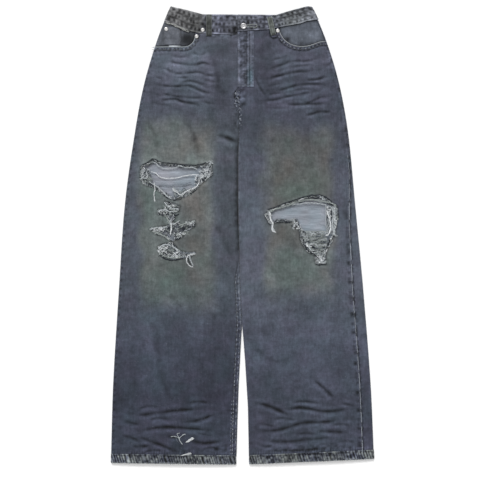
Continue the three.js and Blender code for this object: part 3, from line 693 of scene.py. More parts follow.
def add_object(name, vertices, faces, colors, materials, material_index=None, flat_faces=None):
    mesh = bpy.data.meshes.new(name)
    mesh.from_pydata((np.asarray(vertices) * MM).tolist(), [], faces)
    attribute = mesh.color_attributes.new("wash", "FLOAT_COLOR", "POINT")
    values = np.ones((len(vertices), 4))
    values[:, :3] = np.clip(colors, 0, 1)
    attribute.data.foreach_set("color", values.ravel())
    for material in materials:
        mesh.materials.append(material)
    mesh.polygons.foreach_set("use_smooth", np.ones(len(faces), bool))
    if flat_faces is not None:
        mesh.polygons.foreach_set("use_smooth", ~flat_faces)
    if material_index is not None:
        mesh.polygons.foreach_set("material_index", material_index)
    mesh.update()
    piece = bpy.data.objects.new(name, mesh)
    bpy.context.scene.collection.objects.link(piece)
    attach(piece, "root")
    return piece


def ragged(outline, seed, step=3.2, rough=1.7):
    """A torn outline: the given one, closed, with small seeded teeth."""
    closed = np.vstack([outline, outline[:1]]).astype(float)
    line = resample(closed, step)[:-1]
    outward = left_of(np.roll(line, -1, axis=0) - np.roll(line, 1, axis=0))
    teeth = np.random.default_rng(seed).uniform(-1, 1, len(line))
    return line + outward * (teeth * rough)[:, None]


def inside(x, y, outline):
    """Whether each place is inside a closed outline."""
    result = np.zeros(np.shape(x), bool)
    for (start_x, start_y), (end_x, end_y) in zip(outline, np.roll(outline, -1, axis=0)):
        crosses = (start_y > y) != (end_y > y)
        slope = (end_x - start_x) / (end_y - start_y if end_y != start_y else 1e-9)
        result ^= crosses & (x < start_x + slope * (y - start_y))
    return result


def snap_to(grid, outline, cell):
    """Moves places near a cut's outline on to it. Says which ones stay strictly inside it."""
    closed = np.vstack([outline, outline[:1]])
    low = closed.min(axis=0) - 3 * cell
    high = closed.max(axis=0) + 3 * cell
    x = grid[..., 0]
    y = grid[..., 1]
    near = (x > low[0]) & (x < high[0]) & (y > low[1]) & (y < high[1]) & (grid[..., 2] > 2.2)
    within = np.zeros(x.shape, bool)
    if not near.any():
        return within
    near_x = x[near]
    near_y = y[near]
    best = np.full(near_x.shape, np.inf)
    best_x = near_x.copy()
    best_y = near_y.copy()
    for start, end in zip(closed[:-1], closed[1:]):
        run = end - start
        length = max(float(run @ run), 1e-9)
        part = np.clip(((near_x - start[0]) * run[0] + (near_y - start[1]) * run[1]) / length, 0, 1)
        to_x = start[0] + part * run[0]
        to_y = start[1] + part * run[1]
        distance = np.hypot(near_x - to_x, near_y - to_y)
        closer = distance < best
        best = np.where(closer, distance, best)
        best_x = np.where(closer, to_x, best_x)
        best_y = np.where(closer, to_y, best_y)
    snapped = best < 0.55 * cell
    within[near] = inside(near_x, near_y, closed[:-1]) & ~snapped
    new_x = np.where(snapped, best_x, near_x)
    new_y = np.where(snapped, best_y, near_y)
    grid[..., 0][near] = new_x
    grid[..., 1][near] = new_y
    return within


def shell(name, outer, thickness, color, materials, cuts=(), cell=3.0, flip=False, inner_color=None):
    """A piece of cloth. outer is a grid of places on its outer face, rows by columns."""
    grid = np.array(outer, float)
    gone = np.zeros(grid.shape[:2], bool)
    for outline in cuts:
        gone |= snap_to(grid, outline, cell)
    up = np.gradient(np.array(outer, float), axis=0)
    across = np.gradient(np.array(outer, float), axis=1)
    normal = np.cross(across, up)
    normal /= np.maximum(np.linalg.norm(normal, axis=2, keepdims=True), 1e-9)
    if flip:
        normal = -normal
    inner = grid - normal * thickness
    rows, columns = grid.shape[:2]
    number = np.arange(rows * columns).reshape(rows, columns)
    a = number[:-1, :-1].ravel()
    b = number[:-1, 1:].ravel()
    c = number[1:, 1:].ravel()
    d = number[1:, :-1].ravel()
    lost = gone.ravel()
    missing = lost[a].astype(int) + lost[b] + lost[c] + lost[d]
    whole = missing == 0
    outer_faces = np.stack([a, b, c, d], axis=1)[whole].tolist()
    for corners in np.stack([a, b, c, d], axis=1)[missing == 1].tolist():
        outer_faces.append([corner for corner in corners if not lost[corner]])
    if flip:
        outer_faces = [face[::-1] for face in outer_faces]
    used = np.zeros(rows * columns, bool)
    for face in outer_faces:
        used[face] = True
    index = np.cumsum(used) - 1
    outer_faces = [[int(index[corner]) for corner in face] for face in outer_faces]
    count = int(used.sum())
    flat_outer = grid.reshape(-1, 3)[used]
    flat_inner = inner.reshape(-1, 3)[used]
    directed = {}
    for face in outer_faces:
        for start, end in zip(face, face[1:] + face[:1]):
            directed[(start, end)] = True
    rims = [(start, end) for start, end in directed if (end, start) not in directed]
    inner_faces = [[corner + count for corner in face[::-1]] for face in outer_faces]
    rim_faces = [[end, start, start + count, end + count] for start, end in rims]
    faces = outer_faces + inner_faces + rim_faces
    face_material = np.zeros(len(faces), int)
    if len(materials) > 1:
        face_material[len(outer_faces):] = 1
    flat_faces = np.zeros(len(faces), bool)
    flat_faces[2 * len(outer_faces):] = True
    outer_color = color.reshape(-1, 3)[used]
    if inner_color is None:
        inner_shade = outer_color * 1.0
    else:
        inner_shade = inner_color.reshape(-1, 3)[used]
    return add_object(name, np.vstack([flat_outer, flat_inner]), faces,
                      np.vstack([outer_color, inner_shade]), materials, face_material, flat_faces)


def band(name, bottoms, tops, normals, thickness, color, materials, closed=False, parts=14, puff=None):
    """A folded strip of cloth swept from station to station, with rounded edges."""
    bottoms = np.asarray(bottoms, float)
    tops = np.asarray(tops, float)
    normals = np.asarray(normals, float)
    normals = normals / np.linalg.norm(normals, axis=1, keepdims=True)
    half = thickness / 2
    width = np.linalg.norm(tops - bottoms, axis=1, keepdims=True)
    section = []
    for part in np.linspace(0, 1, parts):
        section.append((part, 0.0, 1.0))
    for angle in (60, 0, -60):
        section.append((1.0, half * (math.sin(math.radians(angle)) - 1),
                        math.cos(math.radians(angle))))
    for part in np.linspace(1, 0, max(3, parts // 2)):
        section.append((part, -thickness, -1.0))
    for angle in (-60, 0, 60):
        section.append((0.0, half * (math.sin(math.radians(angle)) - 1),
                        -math.cos(math.radians(angle))))
    stations = len(bottoms)
    count = len(section)
    direction = (tops - bottoms) / width
    vertices = np.zeros((stations, count, 3))
    for index, (part, lift, reach) in enumerate(section):
        is_outer = index < parts
        is_inner = parts + 3 <= index < count - 3
        inset = half / width
        place = inset + (1 - 2 * inset) * part
        point = bottoms + (tops - bottoms) * place
        raise_by = np.full((stations, 1), lift)
        if is_outer and puff is not None:
            raise_by = raise_by + puff[:, index:index + 1]
        if not is_outer and not is_inner:
            point = point + direction * half * reach
        vertices[:, index] = point + normals * raise_by
    colors = np.repeat(color[:, None, :], count, axis=1) if color.ndim == 2 else color
    if colors.shape[1] != count:
        stretch = np.clip(np.round(np.array([item[0] for item in section]) * (colors.shape[1] - 1)),
                          0, colors.shape[1] - 1).astype(int)
        colors = colors[:, stretch]
    faces = []
    last = stations if closed else stations - 1
    for station in range(last):
        after = (station + 1) % stations
        for index in range(count):
            following = (index + 1) % count
            faces.append([station * count + index, after * count + index,
                          after * count + following, station * count + following])
    if not closed:
        faces.append([index for index in range(count)])
        faces.append([(stations - 1) * count + index for index in range(count)][::-1])
    return add_object(name, vertices.reshape(-1, 3), faces, colors.reshape(-1, 3), materials)


def strands(name, lines, radii, colors, material, sides=4):
    """Threads joined in one mesh: each line is a list of places, and each has a radius and colour."""
    vertices = []
    faces = []
    shades = []
    for line, radius, color in zip(lines, radii, colors):
        line = np.asarray(line, float)
        tangent = np.gradient(line, axis=0)
        tangent /= np.maximum(np.linalg.norm(tangent, axis=1, keepdims=True), 1e-9)
        sideways = np.cross(tangent, [0, 0, 1.0])
        lengths = np.linalg.norm(sideways, axis=1, keepdims=True)
        sideways = np.where(lengths > 1e-3, sideways / np.maximum(lengths, 1e-9), [1.0, 0, 0])
        upward = np.cross(sideways, tangent)
        start = len(vertices)
        steps = len(line)
        taper = np.ones(steps)
        taper[0] = 0.45
        taper[-1] = 0.45
        for step in range(steps):
            for side in range(sides):
                angle = 2 * math.pi * (side + 0.5) / sides
                offset = sideways[step] * math.cos(angle) + upward[step] * math.sin(angle)
                vertices.append(line[step] + offset * radius * taper[step])
                shades.append(color)
        for step in range(steps - 1):
            for side in range(sides):
                following = (side + 1) % sides
                low = start + step * sides
                faces.append([low + side, low + following, low + sides + following,
                              low + sides + side])
        faces.append([start + side for side in range(sides)][::-1])
        end = start + (steps - 1) * sides
        faces.append([end + side for side in range(sides)])
    return add_object(name, np.array(vertices), faces, np.array(shades), [material])


def lathe(name, centre, profile, color, material, sides=48):
    """A turned piece on an upright axis: profile is [radius, height] from the top's middle down."""
    vertices = []
    faces = []
    for radius, height in profile:
        for side in range(sides):
            angle = 2 * math.pi * side / sides
            vertices.append((centre[0] + radius * math.cos(angle),
                             centre[1] + radius * math.sin(angle), centre[2] + height))
    for ring in range(len(profile) - 1):
        for side in range(sides):
            following = (side + 1) % sides
            faces.append([ring * sides + side, (ring + 1) * sides + side,
                          (ring + 1) * sides + following, ring * sides + following])
    faces.append([side for side in range(sides)])
    last = (len(profile) - 1) * sides
    faces.append([last + side for side in range(sides)][::-1])
    return add_object(name, np.array(vertices), faces,
                      np.tile(color, (len(vertices), 1)), [material])


# ---------------------------------------------------------------- materials

class Nodes:
    """Short calls for a material's nodes."""

    def __init__(self, name):
        self.material = bpy.data.materials.new(name)
        self.material.use_nodes = True
        self.tree = self.material.node_tree
        self.shader = self.tree.nodes["Principled BSDF"]

    def new(self, kind, **settings):
        node = self.tree.nodes.new(kind)
        for key, value in settings.items():
            setattr(node, key, value)
        return node

    def join(self, source, target):
        self.tree.links.new(source, target)

    def place(self, scale, turn=0.0):
        """Places on the object in metres, scaled and turned."""
        coordinates = self.new("ShaderNodeTexCoord")
        mapping = self.new("ShaderNodeMapping")
        mapping.inputs["Scale"].default_value = scale
        mapping.inputs["Rotation"].default_value = (0, 0, turn)
        self.join(coordinates.outputs["Object"], mapping.inputs["Vector"])
        return mapping.outputs["Vector"]

    def noise(self, scale, detail=3.0, rough=0.55, turn=0.0):
        node = self.new("ShaderNodeTexNoise")
        node.inputs["Scale"].default_value = 1.0
        node.inputs["Detail"].default_value = detail
        node.inputs["Roughness"].default_value = rough
        self.join(self.place(scale, turn), node.inputs["Vector"])
        return node.outputs["Fac"]

    def stripes(self, per_metre, turn, distortion=0.6):
        node = self.new("ShaderNodeTexWave", wave_type="BANDS", bands_direction="X")
        node.inputs["Scale"].default_value = per_metre * 0.314
        node.inputs["Distortion"].default_value = distortion
        node.inputs["Detail"].default_value = 1.5
        node.inputs["Detail Scale"].default_value = 1.0
        self.join(self.place((1, 1, 1), turn), node.inputs["Vector"])
        return node.outputs["Fac"]

    def spread(self, value, low, high, to_low, to_high):
        node = self.new("ShaderNodeMapRange")
        node.inputs["From Min"].default_value = low
        node.inputs["From Max"].default_value = high
        node.inputs["To Min"].default_value = to_low
        node.inputs["To Max"].default_value = to_high
        self.join(value, node.inputs["Value"])
        return node.outputs["Result"]

    def math(self, operation, first, second):
        node = self.new("ShaderNodeMath", operation=operation)
        for value, socket in ((first, node.inputs[0]), (second, node.inputs[1])):
            if isinstance(value, (int, float)):
                socket.default_value = value
            else:
                self.join(value, socket)
        return node.outputs["Value"]

    def times(self, first, second):
        return self.math("MULTIPLY", first, second)

    def vary(self, value, to_low, to_high):
        """Noise, which is mostly between 0.3 and 0.7, spread over another range."""
        return self.spread(value, 0.3, 0.7, to_low, to_high)

    def tint(self, color, factor):
        """A colour times a number."""
        node = self.new("ShaderNodeVectorMath", operation="SCALE")
        self.join(color, node.inputs[0])
        self.join(factor, node.inputs["Scale"])
        return node.outputs["Vector"]

    def blend(self, first, second, factor):
        node = self.new("ShaderNodeMix", data_type="RGBA")
        self.join(factor, node.inputs["Factor"])
        self.join(first, node.inputs["A"])
        if isinstance(second, tuple):
            node.inputs["B"].default_value = (*second, 1)
        else:
            self.join(second, node.inputs["B"])
        return node.outputs["Result"]

    def attribute(self):
        return self.new("ShaderNodeAttribute", attribute_name="wash").outputs["Color"]

    def finish(self, color, height, distance, roughness, sheen=0.0):
        self.join(color, self.shader.inputs["Base Color"])
        bump = self.new("ShaderNodeBump")
        bump.inputs["Distance"].default_value = distance
        bump.inputs["Strength"].default_value = 0.6
        self.join(height, bump.inputs["Height"])
        self.join(bump.outputs["Normal"], self.shader.inputs["Normal"])
        if isinstance(roughness, (int, float)):
            self.shader.inputs["Roughness"].default_value = roughness
        else:
            self.join(roughness, self.shader.inputs["Roughness"])
        self.shader.inputs["Sheen Weight"].default_value = sheen
        self.shader.inputs["Sheen Roughness"].default_value = 0.6
        self.shader.inputs["Specular IOR Level"].default_value = 0.25
        return self.material


def make_denim(name, streak, fleck, twill_per_metre=850):
    """Washed twill: slubs down the cloth, crosswise flecks, and the diagonal of the weave."""
    nodes = Nodes(name)
    slub = nodes.noise((230, 22, 60), 3, 0.6)
    thread = nodes.noise((900, 90, 300), 2, 0.6)
    weft = nodes.noise((60, 420, 120), 3, 0.7)
    grain = nodes.noise((520, 520, 520), 2, 0.7)
    twill = nodes.stripes(twill_per_metre, math.radians(-52), 0.4)
    cloud = nodes.noise((48, 52, 50), 4, 0.62)
    mottle = nodes.noise((150, 120, 140), 3, 0.6)
    factor = nodes.spread(slub, 0.32, 0.68, 1 - 0.6 * streak, 1 + 0.6 * streak)
    factor = nodes.times(factor, nodes.vary(cloud, 0.82, 1.17))
    factor = nodes.times(factor, nodes.vary(mottle, 0.82, 1.18))
    for value, share in ((thread, 0.8), (weft, 0.7)):
        part = nodes.vary(value, 1 - share * streak, 1 + share * streak)
        factor = nodes.times(factor, part)
    factor = nodes.times(factor, nodes.spread(twill, 0, 1, 0.86, 1.12))
    color = nodes.tint(nodes.attribute(), factor)
    worn = nodes.times(nodes.spread(grain, 0.6, 0.74, 0, 1), nodes.spread(slub, 0.42, 0.62, 0, 1))
    worn = nodes.times(worn, fleck)
    color = nodes.blend(color, tuple(linear((176, 182, 190))), worn)
    height = nodes.math("ADD", nodes.times(twill, 0.7), grain)
    height = nodes.math("ADD", height, nodes.times(weft, 0.8))
    rough = nodes.vary(grain, 0.86, 0.98)
    return nodes.finish(color, height, 0.00045, rough, sheen=0.08)


def make_reverse(name):
    """The inside of the cloth: pale weft with dark warp specks in fine rows."""
    nodes = Nodes(name)
    rows = nodes.noise((45, 640, 120), 3, 0.7)
    slub = nodes.noise((28, 150, 60), 2, 0.6)
    speck = nodes.noise((1100, 900, 900), 1, 0.5)
    factor = nodes.vary(rows, 0.78, 1.18)
    factor = nodes.times(factor, nodes.vary(slub, 0.86, 1.12))
    factor = nodes.times(factor, nodes.spread(speck, 0.35, 0.65, 0.84, 1.12))
    color = nodes.tint(nodes.attribute(), factor)
    height = nodes.math("ADD", rows, nodes.times(speck, 0.5))
    return nodes.finish(color, height, 0.0005, 0.95, sheen=0.05)


def make_plain_weave(name):
    nodes = Nodes(name)
    across = nodes.stripes(1400, 0, 0.2)
    up = nodes.stripes(1400, math.radians(90), 0.2)
    cloud = nodes.noise((90, 90, 90), 3, 0.6)
    factor = nodes.times(nodes.vary(cloud, 0.88, 1.08),
                         nodes.spread(nodes.times(across, up), 0, 1, 0.9, 1.06))
    color = nodes.tint(nodes.attribute(), factor)
    return nodes.finish(color, nodes.times(across, up), 0.0002, 0.92)


def make_thread(name):
    nodes = Nodes(name)
    ply = nodes.stripes(1900, math.radians(35), 0.3)
    cloud = nodes.noise((300, 300, 300), 2, 0.6)
    factor = nodes.times(nodes.spread(ply, 0, 1, 0.85, 1.1),
                         nodes.vary(cloud, 0.85, 1.12))
    color = nodes.tint(nodes.attribute(), factor)
    return nodes.finish(color, ply, 0.0001, 0.8)


def make_metal(name):
    nodes = Nodes(name)
    scratch = nodes.noise((900, 900, 900), 4, 0.7)
    cloud = nodes.noise((240, 240, 240), 3, 0.6)
    color = nodes.tint(nodes.attribute(), nodes.vary(cloud, 0.8, 1.1))
    rough = nodes.vary(scratch, 0.3, 0.5)
    material = nodes.finish(color, scratch, 0.00006, rough)
    nodes.shader.inputs["Metallic"].default_value = 1.0
    return material


DENIM = make_denim("washed_denim", 0.12, 0.22)
BAND_DENIM = make_denim("band_denim", 0.14, 0.45)
REVERSE = make_reverse("denim_reverse")
POCKETING = make_plain_weave("pocketing")
THREAD = make_thread("thread")
METAL = make_metal("worn_silver")


# ---------------------------------------------------------------- leg panels

WRAP_PARTS = 8
ROW_STEP = 2.3
COLUMN_STEP = 3.3
BACK_ROW_STEP = 4.2
BACK_COLUMN_STEP = 4.2

right_cuts = [ragged(np.array(outline, float), 31 + index) for index, outline in enumerate(RIGHT_RIPS)]
left_cuts = [ragged(np.array(outline, float), 41 + index) for index, outline in enumerate(LEFT_RIPS)]


def pocket_cut(mouth):
    far_x = mouth[-1][0]
    near_x = mouth[0][0]
    line = curve([mouth[0], *mouth[1:]], 3)
    return np.vstack([line, [(far_x, 600), (near_x, 600)]])


def steps(low, high, step):
    return np.linspace(0, 1, max(2, int(round((high - low) / step))) + 1)


def cloth_grid(rows, columns, guess, start, end, low, high):
    """X and Y over a piece of cloth between four edges, each a curve and a shift.

    The sides depend on Y and the ends on X, so both are worked out twice, from a guess at Y's range.
    """
    y = mix(*guess, rows)[:, None]
    for _ in range(2):
        x = mix(start[0](y[:, :1]) + start[1], end[0](y[:, -1:]) + end[1], columns[None, :])
        y = mix(low[0](x) + low[1], high[0](x) + high[1], rows[:, None])
    return x, y


def under_hem(x, y, bottom):
    """How far the cloth is let in where the hem covers it."""
    return HEM_TUCK * smooth_step(-3, 2, bottom(x) - y)


def under_band(x, y, top, depth=BAND_TUCK):
    """How far the cloth dips where the band covers it."""
    return depth * smooth_step(-4, 2, y - top(x))


def over_right_hem(x):
    return right_hem_line(x) + HEM_HEIGHT


def over_left_hem(x):
    return left_hem_line(x) + HEM_HEIGHT


def front_panel(start, end, bottom, top, fold_at):
    """The outer face of a leg's front, wrapped round its folded edge, which is its start."""
    rows = steps(-HALF_LENGTH, 480, ROW_STEP)
    columns = steps(0, 300, COLUMN_STEP)
    x, y = cloth_grid(rows, columns, (-HALF_LENGTH + HEM_HEIGHT, 485), (start, FOLD_ROUND), (end, 0),
                      (bottom, -HEM_OVERLAP), (top, TUCK))
    z = front_height(x, y) - under_band(x, y, top) - under_hem(x, y, bottom)
    seam_dip = SEAM_DIP * bell(end(y) - x, 1.2)
    z = z - np.where(y < 470, seam_dip, 0)
    edge_y = y[:, :1]
    top_z = z[:, :1]
    folded = fold_at(edge_y)
    wraps = []
    for angle in np.radians(np.linspace(-85, 75, WRAP_PARTS)):
        round_x = start(edge_y) + FOLD_ROUND * (1 - np.cos(angle))
        round_z = top_z / 2 * (1 + np.sin(angle))
        flat_x = start(edge_y) - 9 * (1 - (angle + math.pi / 2) / math.pi)
        flat_z = top_z - FLAT_LEVEL
        wraps.append(np.stack([mix(flat_x, round_x, folded), edge_y, mix(flat_z, round_z, folded)], -1))
    return np.concatenate([*wraps, np.stack([x, y, z], -1)], axis=1)


def always_folded(y):
    return np.ones_like(y)


def folded_below_crotch(y):
    return 1 - smooth_step(CROTCH_Y, CROTCH_Y + 15, y)


def cloth_facts(nodes):
    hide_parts(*nodes)


reverse_tone = linear((150, 156, 166))


def inner_shade(grid, level=1.0):
    return np.tile(reverse_tone * level, (*grid.shape[:2], 1))


def denim_cloth(name, nodes, grid, color, inner, cuts=(), thickness=CLOTH, flip=False):
    """A piece of denim under an outer face, with the nodes that it stands for."""
    piece = shell(name, grid, thickness, color, [DENIM, REVERSE], cuts, flip=flip, inner_color=inner)
    cloth_facts(nodes)
    return piece


right_grid = front_panel(right_outline, right_front_end, over_right_hem, right_band_seam, always_folded)
right_front = denim_cloth("right_front_cloth", ["right_front_panel"], right_grid,
                          wash(right_grid[..., 0], right_grid[..., 1]), inner_shade(right_grid, 0.8),
                          [*right_cuts, pocket_cut(RIGHT_POCKET_MOUTH)])

left_grid = front_panel(left_front_start, outseam, over_left_hem, left_band_seam, folded_below_crotch)
left_front = denim_cloth("left_front_cloth", ["left_front_panel"], left_grid,
                         wash(left_grid[..., 0], left_grid[..., 1]), inner_shade(left_grid, 0.8),
                         [*left_cuts, pocket_cut(LEFT_POCKET_MOUTH)])


def seat_lift(x, y, side):
    """The back lifts over its patch pocket, which lies under it."""
    across = np.abs(x - side * SEAT_POCKET["centre"]) - SEAT_POCKET["half"] - 1
    down = np.maximum(SEAT_POCKET["point"] - 1 - y, y - SEAT_POCKET["top"] - 1)
    return LAYER * np.clip(1 - np.maximum(across, down) / 12, 0, 1)


def hole_bulge(x, y, cuts):
    """The back's cloth stands up a little in folds where a hole shows it."""
    rise = np.zeros(x.shape)
    for outline in cuts:
        low = outline.min(axis=0)
        high = outline.max(axis=0)
        middle = (low + high) / 2
        size = (high - low) / 2 + 8
        rise = rise + blob(x, y, middle, size, 4)
    folds = 0.5 + 0.5 * np.sin(y / 4.6 + 2.2 * rumple(x, y, 40, 30, 51) + 0.02 * x)
    return np.clip(rise, 0, 1) * (0.5 + 1.3 * folds * (0.6 + 0.4 * rumple(x, y, 26, 18, 52)))


def back_panel(start, end, strip_to, bottom, top, side, cuts, folded, strip_parts=5):
    """The outer face of a leg's back: along the surface, up round the fold and over to the seam."""
    rows = steps(-HALF_LENGTH, 440, BACK_ROW_STEP)
    columns = steps(0, 300, BACK_COLUMN_STEP)
    x, y = cloth_grid(rows, columns, (-HALF_LENGTH + HEM_HEIGHT, 440), (start, 0), (end, -FOLD_ROUND),
                      (bottom, -HEM_OVERLAP), (top, 0))
    z = seat_lift(x, y, side) + hole_bulge(x, y, cuts) * 0.8 + under_hem(x, y, bottom)
    edge_y = y[:, -1:]
    high_x = end(edge_y) - FOLD_ROUND
    high_z = front_height(high_x, edge_y) - under_hem(high_x, edge_y, bottom)
    fold = folded(edge_y)
    grids = [np.stack([x, y, z], -1)]
    for angle in np.radians(np.linspace(-70, 80, WRAP_PARTS)):
        round_x = high_x + FOLD_ROUND * np.cos(angle)
        round_z = high_z / 2 * (1 + np.sin(angle))
        flat_x = high_x + FOLD_ROUND + 5 * (angle + math.pi / 2) / math.pi
        flat_z = np.full_like(round_z, FLAT_LEVEL)
        grids.append(np.stack([mix(flat_x, round_x, fold), edge_y, mix(flat_z, round_z, fold)], -1))
    for part in np.linspace(0, 1, strip_parts):
        strip_x = mix(high_x, np.minimum(strip_to(edge_y) + 0.4, high_x), part)
        dip = SEAM_DIP * bell(strip_x - strip_to(edge_y), 1.2)
        strip_z = front_height(strip_x, edge_y) - dip - under_hem(strip_x, edge_y, bottom)
        flat_x = high_x + FOLD_ROUND + 5 + 4 * part
        flat_z = np.full_like(strip_z, FLAT_LEVEL)
        grids.append(np.stack([mix(flat_x, strip_x, fold), edge_y, mix(flat_z, strip_z, fold)], -1))
    return np.concatenate(grids, axis=1)


def back_colors(grid):
    """The seat's colour below, and the front's colour where the cloth turns over on to the front."""
    x = grid[..., 0]
    y = grid[..., 1]
    over = smooth_step(1.0, 3.0, grid[..., 2])[..., None] * (grid[..., 2] > 2.4)[..., None]
    return mix(seat_wash(x, y), wash(x, y), over)


def hole_shadow(grid, cuts):
    """The reverse as it shows in the holes: painted shadow darkens it near a hole's edge, it is darker in
    the left rip's lower part, and paler in the middle.
    """
    x = grid[..., 0]
    y = grid[..., 1]
    light = np.full(x.shape, 1.0)
    for outline in cuts:
        closed = np.vstack([outline, outline[:1]])
        low = closed.min(axis=0) - 20
        high = closed.max(axis=0) + 20
        near = (x > low[0]) & (x < high[0]) & (y > low[1]) & (y < high[1])
        distance, _, _, _ = from_line(x[near], y[near], closed)
        shadow = 0.66 if high[0] - low[0] > 170 else 0.25
        light[near] *= 1 - shadow * bell(distance, 4.4)
    light *= 1 + 0.12 * rumple(x, y, 22, 5, 61) + 0.1 * rumple(x, y, 34, 26, 62)
    light *= 1 - 0.5 * smooth_step(4, -20, y) * smooth_step(130, 150, x)
    hue = (rumple(x, y, 30, 36, 63) + 0.6 * rumple(x, y, 14, 12, 64))[..., None]
    return reverse_tone * light[..., None] * (1 + hue * (-0.06, 0.015, 0.02))


def right_back_end(y):
    return np.where(y > CROTCH_Y + 1, CENTRE_X - 0.3 + FOLD_ROUND, right_inner(y))


def left_back_start(y):
    return np.where(y > CROTCH_Y + 1, CENTRE_X, left_inner(y) + 3.2)


def right_back_start(y):
    return right_outline(y) + 3.0


right_back_grid = back_panel(right_back_start, right_back_end, inseam, over_right_hem, yoke_seam, -1,
                             right_cuts, folded_below_crotch)
right_back = denim_cloth("right_back_cloth", ["right_back_panel", "right_back_turn"], right_back_grid,
                         back_colors(right_back_grid), hole_shadow(right_back_grid, right_cuts), flip=True)

left_back_grid = back_panel(left_back_start, left_outline, outseam, over_left_hem, yoke_seam, 1,
                            left_cuts, always_folded, strip_parts=9)
left_back = denim_cloth("left_back_cloth", ["left_back_panel", "left_back_turn"], left_back_grid,
                        back_colors(left_back_grid), hole_shadow(left_back_grid, left_cuts), flip=True)


# ---------------------------------------------------------------- yokes and seat pockets

def yoke(start, end, strip_to, folded):
    x, y = cloth_grid(steps(430, 510, 3.2), steps(0, 200, 4.2), (440, 500), (start, 0), (end, -FOLD_ROUND),
                      (yoke_seam, 0.4), (back_band_seam, TUCK))
    z = BACK_BAND_Z * smooth_step(455, 480, y) + under_band(x, y, back_band_seam, 2.7)
    grids = [np.stack([x, y, z], -1)]
    if folded:
        edge_y = y[:, -1:]
        high_x = end(edge_y) - FOLD_ROUND
        tuck = under_band(high_x, edge_y, left_band_seam)
        high_z = front_height(high_x, edge_y) - tuck
        low_z = z[:, -1:]
        for angle in np.radians(np.linspace(-70, 80, WRAP_PARTS)):
            round_x = high_x + FOLD_ROUND * np.cos(angle)
            round_z = mix(low_z, high_z, (1 + np.sin(angle)) / 2)
            grids.append(np.stack([round_x, edge_y, round_z], -1))
        for part in np.linspace(0, 1, 3):
            strip_x = mix(high_x, np.minimum(strip_to(edge_y) + 0.4, high_x - 0.3), part)
            strip_z = front_height(strip_x, edge_y) - tuck
            grids.append(np.stack([strip_x, edge_y, strip_z], -1))
    return np.concatenate(grids, axis=1)


def centre_back(y):
    return np.full_like(y, CENTRE_X - 0.3 + FOLD_ROUND)


def centre_back_start(y):
    return np.full_like(y, float(CENTRE_X))


right_yoke_grid = yoke(right_back_start, centre_back, None, False)
right_yoke = denim_cloth("right_yoke_cloth", ["right_yoke"], right_yoke_grid,
                         back_colors(right_yoke_grid), inner_shade(right_yoke_grid), flip=True)
left_yoke_grid = yoke(centre_back_start, left_outline, outseam, True)
left_yoke = denim_cloth("left_yoke_cloth", ["left_yoke"], left_yoke_grid,
                        back_colors(left_yoke_grid), inner_shade(left_yoke_grid), flip=True)


def seat_pocket(name, side, node):
    half = SEAT_POCKET["half"]
    parts = np.linspace(0, 1, 54)
    across = np.linspace(-half, half, 52)
    slope = (SEAT_POCKET["side"] - SEAT_POCKET["point"]) / half
    bottom = SEAT_POCKET["point"] + slope * np.abs(across)
    x = np.tile(across, (len(parts), 1))
    y = mix(bottom[None, :], float(SEAT_POCKET["top"]), parts[:, None])
    x = x * (1 - 0.03 * (SEAT_POCKET["top"] - y) / 150)
    edge = np.minimum(np.minimum(half * 0.985 - np.abs(x), y - bottom[None, :]), SEAT_POCKET["top"] - y)
    z = 0.05 + 0.5 * bell(np.maximum(edge, 0), 1.5) + 0.12 * rumple(x, y, 14, 12, 71)
    grid = np.stack([x + side * SEAT_POCKET["centre"], y, z], -1)
    light = 1.12 - 0.12 * bell(np.maximum(edge - 4, 0), 4)
    colors = seat_wash(grid[..., 0], grid[..., 1]) * light[..., None]
    return denim_cloth(name, [node], grid, colors, inner_shade(grid), thickness=SEAT_POCKET_CLOTH, flip=True)


right_seat_pocket = seat_pocket("right_seat_pocket", -1, "right_back_pocket")
left_seat_pocket = seat_pocket("left_seat_pocket", 1, "left_back_pocket")


# ---------------------------------------------------------------- waistband

def band_station(x, seam, height, sign):
    """The band's lower and upper edge and its outward side at a place along the waist."""
    across = (x - BAND_SEAM_ENDS[0]) / (BAND_SEAM_ENDS[1] - BAND_SEAM_ENDS[0])
    top_x = mix(BAND_TOP_ENDS[0], BAND_TOP_ENDS[1], across)
    return ((x, float(seam(x)), height), (top_x, float(band_top(top_x)), height), (0, 0, sign))


def band_turn(side, front_z, back_z):
    """Stations round the fold at one side, from front to back."""
    stations = []
    end = 1 if side > 0 else 0
    seam_x = BAND_SEAM_ENDS[end]
    top_x = BAND_TOP_ENDS[end]
    seam = left_band_seam if side > 0 else right_band_seam
    for angle in np.radians(np.linspace(70, -70, 9)):
        out = side * 3.0 * (math.cos(angle) - 1)
        z = (front_z + back_z) / 2 + (front_z - back_z) / 2 * math.sin(angle)
        stations.append(((seam_x + out, float(seam(seam_x)), z), (top_x + out, float(band_top(top_x)), z),
                         (side * math.cos(angle), 0, math.sin(angle))))
    return stations


BAND_STEP = 1.5
stations = []
for x in np.arange(FLY_EDGE_X, 179, BAND_STEP):
    stations.append(band_station(x, left_band_seam, float(band_height(x)), 1))
stations += band_turn(1, float(band_height(179)), BACK_BAND_Z)
for x in np.arange(178, -184, -2.6):
    stations.append(band_station(x, back_band_seam, BACK_BAND_Z, -1))
stations += band_turn(-1, float(band_height(-184)), BACK_BAND_Z)[::-1]
for x in np.arange(-183, 20, BAND_STEP):
    under_lap = 2.9 * smooth_step(-30, -13, x)
    stations.append(band_station(x, right_band_seam, float(band_height(x) - under_lap), 1))
band_bottoms = np.array([station[0] for station in stations])
band_tops = np.array([station[1] for station in stations])
band_normals = np.array([station[2] for station in stations], float)

